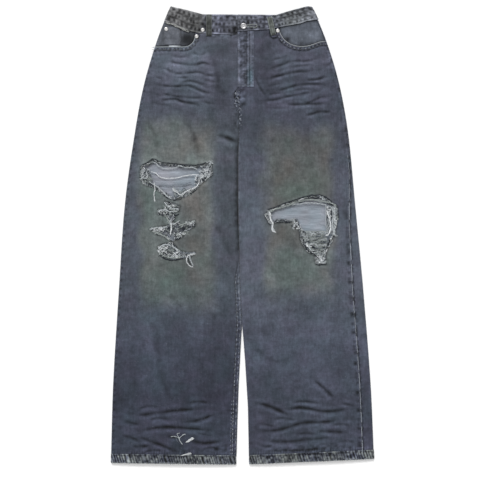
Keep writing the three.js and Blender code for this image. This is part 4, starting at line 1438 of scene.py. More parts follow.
BAND_PARTS = 26
band_arc = arc_lengths(band_bottoms)
band_up = np.linspace(0, 1, BAND_PARTS)
band_tone = tones([[180, (108, 111, 119)], [112, (104, 108, 111)], [96, (100, 104, 111)],
                   [55, (98, 101, 114)], [-12, (98, 101, 111)], [-60, (98, 101, 116)],
                   [-92, (95, 98, 107)], [-108, (101, 102, 103)], [-185, (110, 110, 112)]])


def band_look(arc, up):
    """Height and light of the band: puckered stitching near both edges and blotches between, painted lighter
    where they rise and darker where they sink, partly faded wash and partly painted light and shade, with
    both edges paler from wear.
    """
    arc = arc[:, None] + 0 * up[None, :]
    up = up[None, :] + 0 * arc
    wander = 0.035 * uneven(arc, 23, 81)
    raised = 0.45 * np.sin(math.pi * up)
    light = -0.05 + 0 * up
    beats = ((0.18, 11.5, 0.42), (0.52, 10.5, 0.3), (0.84, 15.0, 0.4))
    for index, (place, pitch, force) in enumerate(beats):
        near = bell(up - place - wander, 0.085)
        phase = 2 * math.pi * arc / pitch + 3.8 * uneven(arc, 21, 84 + index) + 2.5 * up
        beat = squared(np.sin(phase))
        raised = raised + near * (0.7 * force * beat - 0.25)
        light = light + near * (force * beat - 0.08)
    for place in (0.36, 0.69):
        light = light - 0.26 * bell(up - place - wander, 0.06)
    blotch = rumple(arc + 16 * up, up * 40, 13, 6, 88) + 0.9 * rumple(arc - 9 * up, up * 40, 6.5, 3.6, 89)
    raised = raised + 0.3 * blotch
    light = light + 0.3 * blotch
    upper_rim = bell(up - 1, 0.05) * (0.75 + 0.7 * uneven(arc, 9, 90))
    lower_rim = bell(up, 0.045) * (0.85 + 0.7 * uneven(arc, 8, 91))
    return raised, light + 0.36 * upper_rim + 0.55 * lower_rim


band_puff, band_light = band_look(band_arc, band_up)
# Painted shade where the right pocket opens under the band and in a narrow line beside the right front loop,
# paler patches at the band's top by that loop and low on the left, and painted shadow where the band's end
# tucks under by the fly.
for strength, centre, size in ((-0.45, (-118, 0.1), (18, 0.3)), (-0.3, (-93, 0.5), (4, 0.6)),
                               (0.2, (-84, 0.95), (16, 0.2)), (0.3, (150, 0.3), (34, 0.22))):
    band_light = band_light + strength * blob(band_bottoms[:, :1], band_up[None, :], centre, size)
on_front = band_normals[:, 2:] > 0.5
underlap_shadow = blob(band_bottoms[:, :1], band_up[None, :], (-20, 0.15), (13, 0.26), 4)
band_light = band_light - 0.6 * on_front * underlap_shadow
band_color = linear(band_tone(band_bottoms[:, 0]))[:, None, :]
band_color = lit(band_color, band_light, 0.2, 2.4, 1.8)
waistband = band("waistband_cloth", band_bottoms, band_tops, band_normals, BAND_CLOTH, band_color,
                 [BAND_DENIM], parts=BAND_PARTS, puff=band_puff)
cloth_facts(["waistband"])


# ---------------------------------------------------------------- hems

def hem(name, start_edge, end_edge, line, node, seed):
    start_x = float(start_edge(-HALF_LENGTH))
    end_x = float(end_edge(-HALF_LENGTH))
    stations = []

    def station(x, z, normal):
        slant = 0.02 * (x - (start_x + end_x) / 2) / 300
        low = (x, float(line(x)), z)
        high = (x - slant * HEM_HEIGHT, float(line(x)) + HEM_HEIGHT, z)
        stations.append((low, high, normal))

    def front_z(x):
        return float(plain_height(x, line(x) + HEM_HEIGHT)) + HEM_RAISE

    inset = 2.4
    for x in np.arange(start_x + inset, end_x - inset, 1.8):
        station(x, front_z(x), (0, 0, 1))
    for angle in np.radians(np.linspace(70, -70, 9)):
        top = front_z(end_x - inset)
        z = top / 2 * (1 + math.sin(angle))
        station(end_x - inset * (1 - math.cos(angle)), z, (math.cos(angle), 0, math.sin(angle)))
    for x in np.arange(end_x - inset, start_x + inset, -3.6):
        station(x, 0.0, (0, 0, -1))
    for angle in np.radians(np.linspace(-70, 70, 9)):
        top = front_z(start_x + inset)
        z = top / 2 * (1 + math.sin(angle))
        station(start_x + inset * (1 - math.cos(angle)), z, (-math.cos(angle), 0, math.sin(angle)))
    bottoms = np.array([item[0] for item in stations])
    tops = np.array([item[1] for item in stations])
    normals = np.array([item[2] for item in stations], float)
    arc = arc_lengths(bottoms)
    up = np.linspace(0, 1, 11)
    slanted = arc[:, None] + 6 * up[None, :]
    phase = 2 * math.pi * slanted / 6.6 + 3.8 * uneven(slanted, 13, seed)
    roping = squared(np.sin(phase)) * (0.65 + 0.5 * uneven(slanted, 19, seed + 2))
    blotch = (rumple(slanted, up[None, :] * 22 + 0 * slanted, 6, 6, seed + 1)
              + 0.8 * rumple(slanted, up[None, :] * 22 + 0 * slanted, 3.2, 4.2, seed + 3))
    stitch_row = bell(up[None, :] - HEM_STITCH, 0.08)
    puff = 0.55 * roping + 0.25 * blotch - 0.45 * stitch_row
    puff = np.where(normals[:, 2:3] < -0.5, np.clip(puff, -1, 0.0) * 0.5, puff)
    body = 1 - 0.6 * bell(up[None, :] - 1, 0.12)
    ends = bell(np.abs(bottoms[:, :1] - (start_x + end_x) / 2) - 140, 40)
    # The roping and blotches are painted lighter where they rise and darker where they sink, partly faded
    # wash and partly painted light and shade; the stitch row is painted darker in its dip, painted shade,
    # and both folded edges are paler with wear.
    light = (0.74 + 0.25 * ends) * roping * body + 0.55 * blotch - 0.26 * stitch_row - 0.1
    rim = 0.7 + 0.8 * uneven(slanted, 7, seed + 4)
    light = light + 0.2 * bell(up[None, :], 0.07) * rim
    light = light + 0.34 * bell(up[None, :] - 1, 0.09) * rim
    share = np.clip(0.5 + 0.5 * blotch + 0.4 * uneven(slanted, 50, seed + 5), 0, 1)
    color = mix(linear((74, 79, 94)), linear((88, 92, 92)), share[..., None])
    color = lit(color, light, 0.16, 2.5, 1.8)
    piece = band(name, bottoms, tops, normals, HEM_CLOTH, color, [BAND_DENIM], closed=True, parts=11,
                 puff=puff)
    cloth_facts([node])
    return piece


right_hem = hem("right_hem_cloth", right_outline, right_inner, right_hem_line, "right_hem", 91)
left_hem = hem("left_hem_cloth", left_inner, left_outline, left_hem_line, "left_hem", 95)


# ---------------------------------------------------------------- fly, pockets and loops

def patch(name, low_x, high_x, low_y, high_y, lift, node, materials, color=wash,
          step=2.0, thickness=CLOTH, slant=None, bend=None, tone=1.0):
    """A small flat piece of cloth that follows the front, lift above its outer face."""
    rows = steps(low_y, high_y, step)
    columns = steps(low_x, high_x, step)
    x = mix(low_x, high_x, columns[None, :]) + 0 * rows[:, None]
    y = mix(low_y, high_y, rows[:, None]) + 0 * columns[None, :]
    if slant is not None:
        y = mix(low_y, slant(x), rows[:, None])
    edge = np.minimum(np.minimum(x - low_x, high_x - x), np.minimum(y - low_y, y.max() - y))
    z = front_height(x, y) + lift - 0.6 * bell(edge, 1.3)
    if bend is not None:
        z = z + bend(x, y)
    grid = np.stack([x, y, z], -1)
    piece = shell(name, grid, thickness, color(x, y) * tone, materials,
                  inner_color=inner_shade(grid, 0.8))
    cloth_facts([node])
    return piece


def fly_marks(x, y):
    """Bunched light and dark marks, strongest down the middle of the fly."""
    marks = rumple(x, y, 8.5, 7.5, 101) + 0.8 * rumple(x, y, 5, 3.6, 102)
    return marks * (0.35 + 0.65 * blob(x, y, (0, 410), (12, 120), 4))


def fly_bend(x, y):
    """Puckers on the fly, its two stitched ridges, and the dip under the band."""
    ridges = bell(x - 13.5, 1.6) + bell(x - 20, 1.6)
    return 0.45 * fly_marks(x, y) + 0.3 * ridges - under_band(x, y, left_band_seam, 2.6)


def fly_wash(x, y):
    # The bunched marks and the stitched ridges near 13.5 and 20 mm are painted lighter where they rise and
    # darker beside them, partly faded wash and partly painted light and shade; the fly's folded edge and
    # lower edge are paler with wear.
    worn = 0.75 + 0.6 * rumple(x, y, 5, 8, 103)
    marks = fly_marks(x, y)
    light = 0.1 + 0.5 * np.maximum(marks, 0) + 0.34 * np.minimum(marks, 0)
    light = light + 0.3 * rumple(x, y, 4.2, 3.4, 104) + 0.55 * worn * bell(x + 8.6, 2.5)
    light = light + 0.2 * worn * bell(x - 1.5, 2.0)
    light = light - 0.32 * bell(x - 9.5, 1.7) + 0.32 * bell(x - 13.5, 1.5)
    light = light - 0.26 * bell(x - 16.8, 1.2) + 0.36 * bell(x - 20.5, 1.7)
    light = light + 0.12 * smooth_step(21, 24, x)
    light = light + 0.5 * worn * bell(y - FLY_BOTTOM_Y - 1.2, 1.7)
    light = light + 0.22 * blob(x, y, (-4, 372), (6, 12)) - 0.25 * blob(x, y, (4, 450), (14, 22))
    teal = blob(x, y, (18, 380), (7, 22))[..., None] * (-8.0, 6.0, 4.0)
    color = np.array((78, 82, 95.0)) + teal
    return lit(linear(color), light, 0.25, 2.4, 1.7)


def fly_top(x):
    return left_band_seam(x) + TUCK


fly = patch("fly_placket_cloth", FLY_EDGE_X, FLY_EDGE_X + FLY_WIDTH, FLY_BOTTOM_Y, 490, LAYER,
            "fly_placket", [DENIM, REVERSE], color=fly_wash, step=1.7,
            slant=fly_top, bend=fly_bend)


def plain_tone(color):
    def tone(x, y):
        light = 0.12 * rumple(x, y, 14, 20, 111) + 0.1 * rumple(x, y, 5, 9, 112)
        return linear(color) * (1 + light)[..., None] ** 1.5
    return tone


shield = patch("fly_shield_cloth", -26, 22, 362, 474, -1.7, "fly_shield", [BAND_DENIM, REVERSE],
               color=plain_tone((74, 77, 86)), step=4)


def facing(name, start, end, low, top, node, tone, wrap):
    """Cloth behind a pocket's opening, wrapped round the side where the side is open."""
    x, y = cloth_grid(steps(low, 512, 2.4), steps(0, 110, 2.4), (low, 505), (start, 0), (end, 0),
                      (np.zeros_like, low), (top, TUCK))
    z = plain_height(x, y) + 0.5 * relief.at(x, y) - FACING_DEPTH - under_band(x, y, top, 0.9)
    grids = [np.stack([x, y, z], -1)]
    if wrap:
        edge_y = y[:, :1]
        high_z = z[:, :1]
        turns = []
        for angle in np.radians(np.linspace(-80, 75, WRAP_PARTS)):
            out_x = start(edge_y) - FOLD_ROUND * np.cos(angle)
            turns.append(np.stack([out_x, edge_y, high_z / 2 * (1 + np.sin(angle))], -1))
        grids = turns + grids
    grid = np.concatenate(grids, axis=1)
    return denim_cloth(name, [node], grid, tone(grid[..., 0], grid[..., 1]), inner_shade(grid, 0.8))


def mouth_shadow(x, y, mouth):
    """The shade that a pocket's edge and the band throw on the facing."""
    line = resample(curve(mouth, 4), 5)
    distance, _, _, _ = from_line(x, y, line)
    return 0.42 * bell(distance, 4.0)


def right_facing_tone(x, y):
    # Painted shadow from the mouth's edge, in the pocket's gape and under the band, with small lighter and
    # darker marks near the side.
    light = -mouth_shadow(x, y, RIGHT_POCKET_MOUTH) - 0.68 * blob(x, y, (-131, 468), (17, 15), 3)
    light = light - 0.35 * bell(right_band_seam(x) - y, 4.5)
    light = light + 0.25 * blob(x, y, (-208, 458), (14, 8)) * rumple(x, y, 6, 5, 113)
    return lit(plain_tone((88, 92, 100))(x, y), light, 0.08, 1.6, 1.7)


def left_facing_tone(x, y):
    # Painted shadow from the mouth's edge, in a small gape and under the band, a darker patch by the mouth's
    # lowest point and a paler patch above it.
    light = -mouth_shadow(x, y, LEFT_POCKET_MOUTH) - 0.6 * blob(x, y, (108, 469), (6, 5))
    light = light - 0.45 * bell(left_band_seam(x) - y, 4.0)
    light = light - 0.3 * blob(x, y, (140, 458), (9, 5)) + 0.1 * blob(x, y, (165, 480), (22, 12))
    return lit(plain_tone((94, 100, 111))(x, y), light, 0.1, 1.6, 1.7)


def right_facing_start(y):
    return right_outline(y) + FOLD_ROUND


def right_facing_end(y):
    return np.full_like(y, -98.0)


def left_facing_start(y):
    return np.full_like(y, 79.0)


right_facing = facing("right_facing_cloth", right_facing_start, right_facing_end, 452, right_band_seam,
                      "right_pocket_facing", right_facing_tone, True)
left_facing = facing("left_facing_cloth", left_facing_start, outseam, 438, left_band_seam,
                     "left_pocket_facing", left_facing_tone, False)


def coin_bend(x, y):
    mouth = bell(y - 493, 2.0)
    return 0.3 * mouth + 0.15 * rumple(x, y, 6, 6, 121) - 2.4 * smooth_step(-3, 2, y - right_band_seam(x))


def coin_tone(x, y):
    # Painted shadow on the part nearer the fly, where it turns into the pocket, under the band and from the
    # mouth's edge, and a darker line across the part nearer the side seam.
    light = -0.4 * smooth_step(-154, -146, x) - 0.4 * bell(right_band_seam(x) - y, 4.5)
    light = light - 0.16 * bell(y - 471, 2.5) * smooth_step(-160, -166, x)
    light = light - mouth_shadow(x, y, RIGHT_POCKET_MOUTH)
    return lit(plain_tone((104, 108, 117))(x, y), light, 0.2, 1.6, 1.7)


coin_pocket = patch("coin_pocket_cloth", -187, -146, 454.5, 497.5, -0.9, "coin_pocket",
                    [DENIM, REVERSE], color=coin_tone, step=1.6, bend=coin_bend)


def bag_tone(x, y):
    light = -0.6 * bell(x + 150, 7) - 0.35 * bell(x + 175, 5)
    return plain_tone((206, 212, 220))(x, y) * (1 + light)[..., None]


pocket_bag = patch("right_pocket_bag_cloth", -176, -148, 441, 453.2, -0.9, "right_pocket_bag",
                   [POCKETING], color=bag_tone, step=2.0, thickness=0.6)


def belt_loop(name, bottom, top, width, node, color, front=True, upper_light=0.0):
    """A folded strip down the band, turned under at both ends."""
    bottom = np.array(bottom, float)
    top = np.array(top, float)
    length = float(np.linalg.norm(top - bottom))
    stations = []
    count = max(8, int(length / 2))
    for index in range(count + 1):
        part = index / count
        point = mix(bottom, top, part)
        bow = 0.9 * math.sin(math.pi * part)
        ends = 0.9 * (bell(part * length, 2.5) + bell((1 - part) * length, 2.5))
        ripple = 0.2 * math.sin(part * length / 1.6)
        if front:
            z = float(band_height(point[0])) + 1.45 + bow - ends + ripple
        else:
            z = 0.1 + 0.8 * (bell(part * length, 2.5) + bell((1 - part) * length, 2.5))
        stations.append((point, z))
    direction = (top - bottom) / length
    sideways = np.array([direction[1], -direction[0]])
    if not front:
        sideways = -sideways
    half = width / 2
    bottoms = [(*(point - sideways * half), z) for point, z in stations]
    tops = [(*(point + sideways * half), z) for point, z in stations]
    normals = [(0, 0, 1 if front else -1)] * len(stations)
    up = np.linspace(0, 1, 9)
    arc = np.linspace(0, length, len(stations))
    blotch = rumple(arc[:, None], up[None, :] * width + 0 * arc[:, None], 5, 4, 131)
    edges = bell(up, 0.09) + bell(up - 1, 0.09)
    rows = bell(up - 0.2, 0.08) + bell(up - 0.8, 0.08)
    # Blotches are painted lighter where they rise, partly faded wash and partly painted light; the stitch
    # rows are painted darker in their dips, painted shade; the folded edges are paler with wear, an upper
    # part paler where upper_light is given, and the lower end darker, painted shade where it tucks under.
    light = 0.34 * blotch + 0.4 * edges[None, :] - 0.3 * rows[None, :]
    light = light + upper_light * smooth_step(0.6, 0.85, arc / length)[:, None]
    light = light - 0.4 * bell(arc / length - 0.04, 0.05)[:, None]
    tone = lit(linear(color), light, 0.3, 2.2, 1.5)
    puff = 0.35 * np.sin(math.pi * up)[None, :] - 0.25 * rows[None, :] + 0.15 * blotch
    piece = band(name, bottoms, tops, normals, CLOTH, tone, [BAND_DENIM], parts=9, puff=puff)
    cloth_facts([node])
    return piece


belt_loop("front_loop_right", (-80, 475), (-80, 527), 13, "belt_loop_front_right", (72, 75, 74),
          upper_light=0.4)
belt_loop("front_loop_left", (74, 478), (64, 521), 12, "belt_loop_front_left", (104, 109, 106))
for name, x, node in (("back_loop_right", -130, "belt_loop_back_right"),
                      ("back_loop_centre", CENTRE_X, "belt_loop_back_centre"),
                      ("back_loop_left", 115, "belt_loop_back_left")):
    low = float(back_band_seam(x)) + 1
    high = float(band_top(x)) - 1.5
    belt_loop(name, (x, low), (x, high), 13, node, (92, 94, 100), front=False)


# ---------------------------------------------------------------- hardware

def node_middle(node):
    low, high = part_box(node)
    return ((low[0] + high[0]) / 2 / MM, (low[1] + high[1]) / 2 / MM, high[2] / MM)


button_x, button_y, button_top = node_middle("waist_button")
BUTTON = [(0.05, -0.75), (1.4, -0.75), (2.1, -0.95), (3.7, -1.0), (4.4, -0.55), (5.1, 0.0), (5.9, 0.15),
          (6.7, -0.1), (7.15, -0.7), (7.2, -1.3), (6.8, -2.0), (3.7, -2.3), (3.2, -3.4), (0.05, -3.4)]
button = lathe("waist_button_metal", (button_x, button_y, button_top + 0.9), BUTTON,
               linear((206, 206, 208)), METAL)
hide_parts("waist_button")

RIVET = [(0.05, 0.35), (0.9, 0.3), (1.3, -0.1), (1.7, -0.25), (2.4, -0.05), (3.2, 0.1), (4.0, -0.15),
         (4.6, -0.6), (4.75, -1.1), (3.8, -1.6), (0.05, -1.6)]
for node in ("rivet_coin_pocket", "rivet_pocket_right", "rivet_loop_right", "rivet_pocket_left"):
    x, y, top = node_middle(node)
    rivet = lathe(node + "_metal", (x, y, top + 0.7), RIVET, linear((226, 225, 224)), METAL, sides=32)
    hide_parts(node)


# ---------------------------------------------------------------- stitches

def stitch_row(path, height, pitch=4.2, share=0.72, radius=0.38, sink=0.1):
    """Stitches along a path of (x, y) points; height gives the cloth's outer face there."""
    line = resample(np.array(path, float), pitch)
    rows = []
    for start, end in zip(line[:-1], line[1:]):
        points = [mix(start, end, part) for part in (0.0, 0.3 * share, 0.7 * share, share)]
        heights = [float(height(point[0], point[1])) for point in points]
        lifts = (-0.25, radius - sink, radius - sink, -0.25)
        rows.append([(point[0], point[1], z + lift) for point, z, lift in zip(points, heights, lifts)])
    return rows


def at_front(extra=0.0):
    return lambda x, y: front_height(np.array(x), np.array(y)) + extra


def offset_line(points, distance):
    """A line moved sideways, to its left."""
    line = resample(np.array(points, float), 4)
    return line + left_of(np.gradient(line, axis=0)) * distance


def fly_face(x, y):
    return front_height(np.array(x), np.array(y)) + LAYER + fly_bend(np.array(x), np.array(y))


def coin_face(x, y):
    return front_height(np.array(x), np.array(y)) - 0.9 + coin_bend(np.array(x), np.array(y))


def sewn(name, rows, radius, color, low, high):
    """Stitches joined in one mesh, each of a shade of its own."""
    shades = [color * RANDOM.uniform(low, high) for _ in rows]
    piece = strands(name, rows, [radius] * len(rows), shades, THREAD)
    return piece


dark_rows = []
light_rows = []
seam_y = np.arange(-520, -95, 8.0)
light_rows += stitch_row(beside(inseam, 1, seam_y), at_front(0.3))
light_rows += stitch_row(beside(inseam, 8.5, seam_y), at_front(0.3))
side_y = np.arange(-520, 450, 8.0)
light_rows += stitch_row(beside(outseam, -1.8, side_y)[:75], at_front(0.2))
dark_rows += stitch_row(beside(outseam, -8, side_y), at_front())
for gap in (2.4, 7.4):
    right_line = offset_line(curve(RIGHT_POCKET_MOUTH, 4), gap)
    light_rows += stitch_row(right_line[2:], at_front(0.1))
    left_line = offset_line(curve(LEFT_POCKET_MOUTH[:8], 4), -gap)
    light_rows += stitch_row(left_line[2:], at_front(0.1))
centre_y = np.arange(FLY_BOTTOM_Y - 8, CROTCH_Y + 4, -5.0)
for shift in (2.0, 7.5):
    dark_rows += stitch_row(beside(centre_seam, shift, centre_y), at_front())
for shift in (14, 20):
    fly_path = curve([(shift, 482), (shift, 400), (shift, 370), (shift - 1, 358)], 4)
    light_rows += stitch_row(fly_path, fly_face)
light_rows += stitch_row([(FLY_EDGE_X + 2.5, 482), (FLY_EDGE_X + 2.5, 360)], fly_face)
light_rows += stitch_row([(FLY_EDGE_X + 2.5, 358), (20, 358)], fly_face)
light_rows += stitch_row([(-8, 385), (12, 381)], fly_face, pitch=3.0)
for path in ([(-184, 490), (-149, 489)], [(-184, 486), (-149, 485)], [(-149, 488), (-149, 456)]):
    light_rows += stitch_row(path, coin_face, pitch=3.4)


def on_band(part, first, last, pitch=4.2):
    """A row of stitches along the band's outer face, at a part of its height."""
    index = min(BAND_PARTS - 1, int(round(part * (BAND_PARTS - 1))))
    points = mix(band_bottoms, band_tops, part) + band_normals * band_puff[:, index:index + 1]
    chosen = points[first:last]
    normals = band_normals[first:last]
    line = resample(np.hstack([chosen, normals]), pitch)
    rows = []
    for start, end in zip(line[:-1], line[1:]):
        run = []
        for share, lift in ((0.0, -0.25), (0.22, 0.3), (0.5, 0.3), (0.72, -0.25)):
            point = mix(start, end, share)
            run.append(point[:3] + point[3:] * lift)
        rows.append(run)
    return rows


front_stations = int((179 - FLY_EDGE_X) / BAND_STEP)
for part in (0.12, 0.9):
    dark_rows += on_band(part, 1, front_stations)
    dark_rows += on_band(part, front_stations + 12, len(band_bottoms) - 12)


def hem_face(line):
    return lambda x, y: float(plain_height(np.array(x), np.array(line(x) + HEM_HEIGHT))) + 0.75


for low, high, line in ((-310, -18, right_hem_line), (20, 310, left_hem_line)):
    path = [(x, float(line(x)) + HEM_STITCH * HEM_HEIGHT) for x in np.arange(low, high, 4)]
    dark_rows += stitch_row(path, hem_face(line))

thread_dark = linear((52, 55, 66))
thread_light = linear((140, 142, 148))
sewn("front_stitches", dark_rows, 0.36, thread_dark, 0.8, 1.35)
sewn("pale_stitches", light_rows, 0.36, thread_light, 0.75, 1.2)


def flat_face(x, y):
    return 0.0


def under_rows(path, height, pitch=4.2):
    """Stitches on the underside: made the same way, and turned over."""
    return [[(x, y, -z + 0.02) for x, y, z in row]
            for row in stitch_row(path, height, pitch, radius=0.3, sink=0.36)]


back_rows = []
for side in (-1, 1):
    xs = np.linspace(CENTRE_X + side * 6, CENTRE_X + side * 190, 40)
    for gap in (2.5, 8.5):
        path = np.stack([xs, yoke_seam(xs) + gap], 1)
        back_rows += under_rows(path, flat_face)
    centre = SEAT_POCKET["centre"] * side
    half = SEAT_POCKET["half"] - 3.5
    outline = [(centre - half, 388), (centre - half, 266), (centre, 241), (centre + half, 266),
               (centre + half, 388)]
    back_rows += under_rows(outline, flat_face)
    inner = [(centre - half + 6, 388), (centre - half + 6, 270), (centre, 248), (centre + half - 6, 270),
             (centre + half - 6, 388)]
    back_rows += under_rows(inner, flat_face)
    for drop in (3, 14):
        back_rows += under_rows([(centre - half, 392 - drop), (centre + half, 392 - drop)], flat_face)
for shift in (-2.5, -8.5):
    back_rows += under_rows([(CENTRE_X + shift, 412), (CENTRE_X + shift, 250)], flat_face)
sewn("back_stitches", back_rows, 0.3, thread_dark, 0.8, 1.4)


# ---------------------------------------------------------------- buttonhole

def loop_stitches(path, face, width, pitch):
    """Close bars across a path, as round a buttonhole."""
    line = resample(np.array(path, float), pitch)
    rows = []
    for point, away in zip(line, left_of(np.gradient(line, axis=0))):
        run = []
        for part, lift in ((-0.5, -0.1), (-0.2, 0.35), (0.2, 0.35), (0.5, -0.1)):
            place = point + away * width * part
            run.append((place[0], place[1], face + lift))
        rows.append(run)
    return rows


hole_face = float(band_height(22)) + 0.45
hole_path = curve([(10, 501.6), (20, 502.0), (27, 503.2), (33, 502.4), (34.6, 499.6), (33, 497.0),
                   (27, 496.2), (20, 497.0), (10, 497.2)], 1.5)
hole_rows = loop_stitches(hole_path, hole_face, 2.4, 0.8)
sewn("buttonhole_stitches", hole_rows, 0.32, linear((172, 178, 176)), 0.75, 1.25)


# ---------------------------------------------------------------- torn edges and loose threads

WHITE = linear((236, 240, 243))
PALE = linear((200, 207, 211))
CREAM = linear((164, 172, 170))
GREY = linear((124, 132, 142))
# DARK threads are partly the cloth's dark warp and partly stand for shade among the fringe and along the
# torn edges: painted shadow.
DARK = linear((44, 49, 57))


def laid(places, lift):
    """Places on the front's outer face, raised by lift."""
    places = np.asarray(places, float)
    heights = front_height(places[:, 0], places[:, 1]) + lift
    return np.column_stack([places, heights])


def cord(points, radius, color, seed=0, lift=0.4, wiggle=0.5, step=2.2):
    """A thick thread or a rolled edge through (x, y) places: fibres that cross and part."""
    random = np.random.default_rng(seed)
    line = curve(points, step)
    fibres = 1 if radius < 0.7 else 4
    result = []
    for _ in range(fibres):
        noise = np.convolve(random.normal(0, 1, len(line)), [0.25, 0.5, 0.25], "same")
        other = np.convolve(random.normal(0, 1, len(line)), [0.25, 0.5, 0.25], "same")
        spread = 0.0 if fibres == 1 else 0.75 * radius
        sway = (wiggle + spread) * np.column_stack([noise, other])
        shade_of = color * random.uniform(0.7, 1.12)
        thickness = radius * (1 if fibres == 1 else random.uniform(0.42, 0.68))
        result.append((laid(line + sway, lift + 0.3 * noise), thickness, shade_of))
    return result


def bundle(starts, ends, count, radius, color, seed, lift=0.4, bow=2.0):
    """Threads side by side between two short lines, each with its own bow."""
    random = np.random.default_rng(seed)
    result = []
    for part in np.linspace(0, 1, count):
        start = mix(np.array(starts[0], float), np.array(starts[1], float), part)
        end = mix(np.array(ends[0], float), np.array(ends[1], float), part)
        across = np.array([start[1] - end[1], end[0] - start[0]])
        across = across / max(float(np.hypot(*across)), 1e-6)
        sway = random.normal(0, bow, 2)
        points = [start, mix(start, end, 0.33) + across * sway[0],
                  mix(start, end, 0.66) + across * sway[1], end]
        shade_of = color * random.uniform(0.72, 1.1)
        result += cord(points, radius * random.uniform(0.7, 1.2), shade_of, seed + len(result), lift, 0.35)
    return result


def inward_of(line, outline):
    """The direction into a closed outline at each of its places."""
    inward = left_of(np.roll(line, -2, axis=0) - np.roll(line, 2, axis=0))
    middle = line + inward * 2
    if inside(middle[:, 0], middle[:, 1], outline).mean() < 0.5:
        inward = -inward
    return inward


def fray(outline, seed, spacing=1.3, long=7.0):
    """Short threads along a torn edge, that lie across it and into the hole."""
    random = np.random.default_rng(seed)
    line = resample(np.vstack([outline, outline[:1]]), spacing)[:-1]
    result = []
    for point, away in zip(line, inward_of(line, outline)):
        if random.uniform() < 0.2:
            continue
        length = long * random.uniform(0.25, 1.0) ** 1.3
        direction = away + random.normal(0, 0.5, 2) + np.array([0, -0.15])
        direction /= max(float(np.linalg.norm(direction)), 1e-6)
        bend = np.array([-direction[1], direction[0]]) * random.normal(0, 0.4)
        parts = np.array([-0.2, 0.1, 0.45, 0.75, 1.0])[:, None]
        places = point + direction * length * parts + bend * length * parts ** 2
        drop = np.where(parts[:, 0] < 0.2, 0.4, 0.1 - 1.3 * parts[:, 0] * random.uniform(0.3, 1))
        pick = random.uniform()
        color = WHITE if pick < 0.25 else PALE if pick < 0.5 else CREAM if pick < 0.75 else GREY
        result.append((laid(places, drop), random.uniform(0.25, 0.55), color * random.uniform(0.6, 1.05)))
    return result


def fringe(outline, seed, per_length=0.28, low=-1.0, high=5.5, radius=0.55, bare=None):
    """Curled threads that lie along a torn edge, as its rolled fringe."""
    random = np.random.default_rng(seed)
    line = resample(np.vstack([outline, outline[:1]]), 2.0)[:-1]
    inward = inward_of(line, outline)
    result = []
    for _ in range(int(len(line) * 2.0 * per_length)):
        first = random.integers(len(line))
        if bare is not None and bare(*line[first]) and random.uniform() < 0.8:
            continue
        count = random.integers(4, 10)
        index = (first + np.arange(count)) % len(line)
        offset = random.uniform(low, high)
        phase = random.uniform(0, 2 * math.pi)
        curl = 0.5 + 1.3 * random.uniform()
        sway = curl * np.sin(np.arange(count) * random.uniform(0.7, 1.6) + phase)
        places = line[index] + inward[index] * (offset + sway)[:, None]
        drop = 0.45 - 0.24 * max(offset, 0) + 0.25 * np.cos(np.arange(count) * 1.3 + phase)
        pick = random.uniform()
        color = WHITE if pick < 0.3 else PALE if pick < 0.55 else CREAM if pick < 0.75 else GREY
        if random.uniform() < 0.3:
            color = DARK
        thickness = radius * random.uniform(0.55, 1.3)
        result.append((laid(places, drop), thickness, color * random.uniform(0.65, 1.05)))
    return result


def tangle(centre, size, count, seed, radius, color, length=12, level=0.0, drop=0.6):
    """A loose bunch of curled threads round a place; level 1 keeps them near to level."""
    random = np.random.default_rng(seed)
    result = []
    for _ in range(count):
        start = np.array(centre) + random.uniform(-1, 1, 2) * size
        angle = random.uniform(0, 2 * math.pi)
        angle = mix(angle, random.normal(0, 0.25), level)
        reach = length * random.uniform(0.4, 1)
        turn = random.normal(0, 1.3) * (1 - 0.6 * level)
        parts = np.linspace(0, 1, 7)
        wave = 0.16 * reach * np.sin(parts * random.uniform(5, 10) + angle)
        heading = angle + turn * parts
        ahead = np.column_stack([np.cos(heading), np.sin(heading)])
        places = start + (reach * (parts - 0.5))[:, None] * ahead
        places = places + np.column_stack([-np.sin(heading), np.cos(heading)]) * wave[:, None]
        shade_of = color * random.uniform(0.6, 1.15)
        if random.uniform() < 0.18:
            shade_of = DARK
        places = laid(places, 0.5 - drop * random.uniform(0, 1))
        result.append((places, radius * random.uniform(0.6, 1.25), shade_of))
    return result


def add_threads(name, threads, sides=4):
    piece = strands(name, [thread[0] for thread in threads], [thread[1] for thread in threads],
                    [thread[2] for thread in threads], THREAD, sides)
    return piece


def clean_top(x, y):
    """The wide rip's upper edge, where the cloth is torn cleanly."""
    return y > 158 and -222 < x < -92


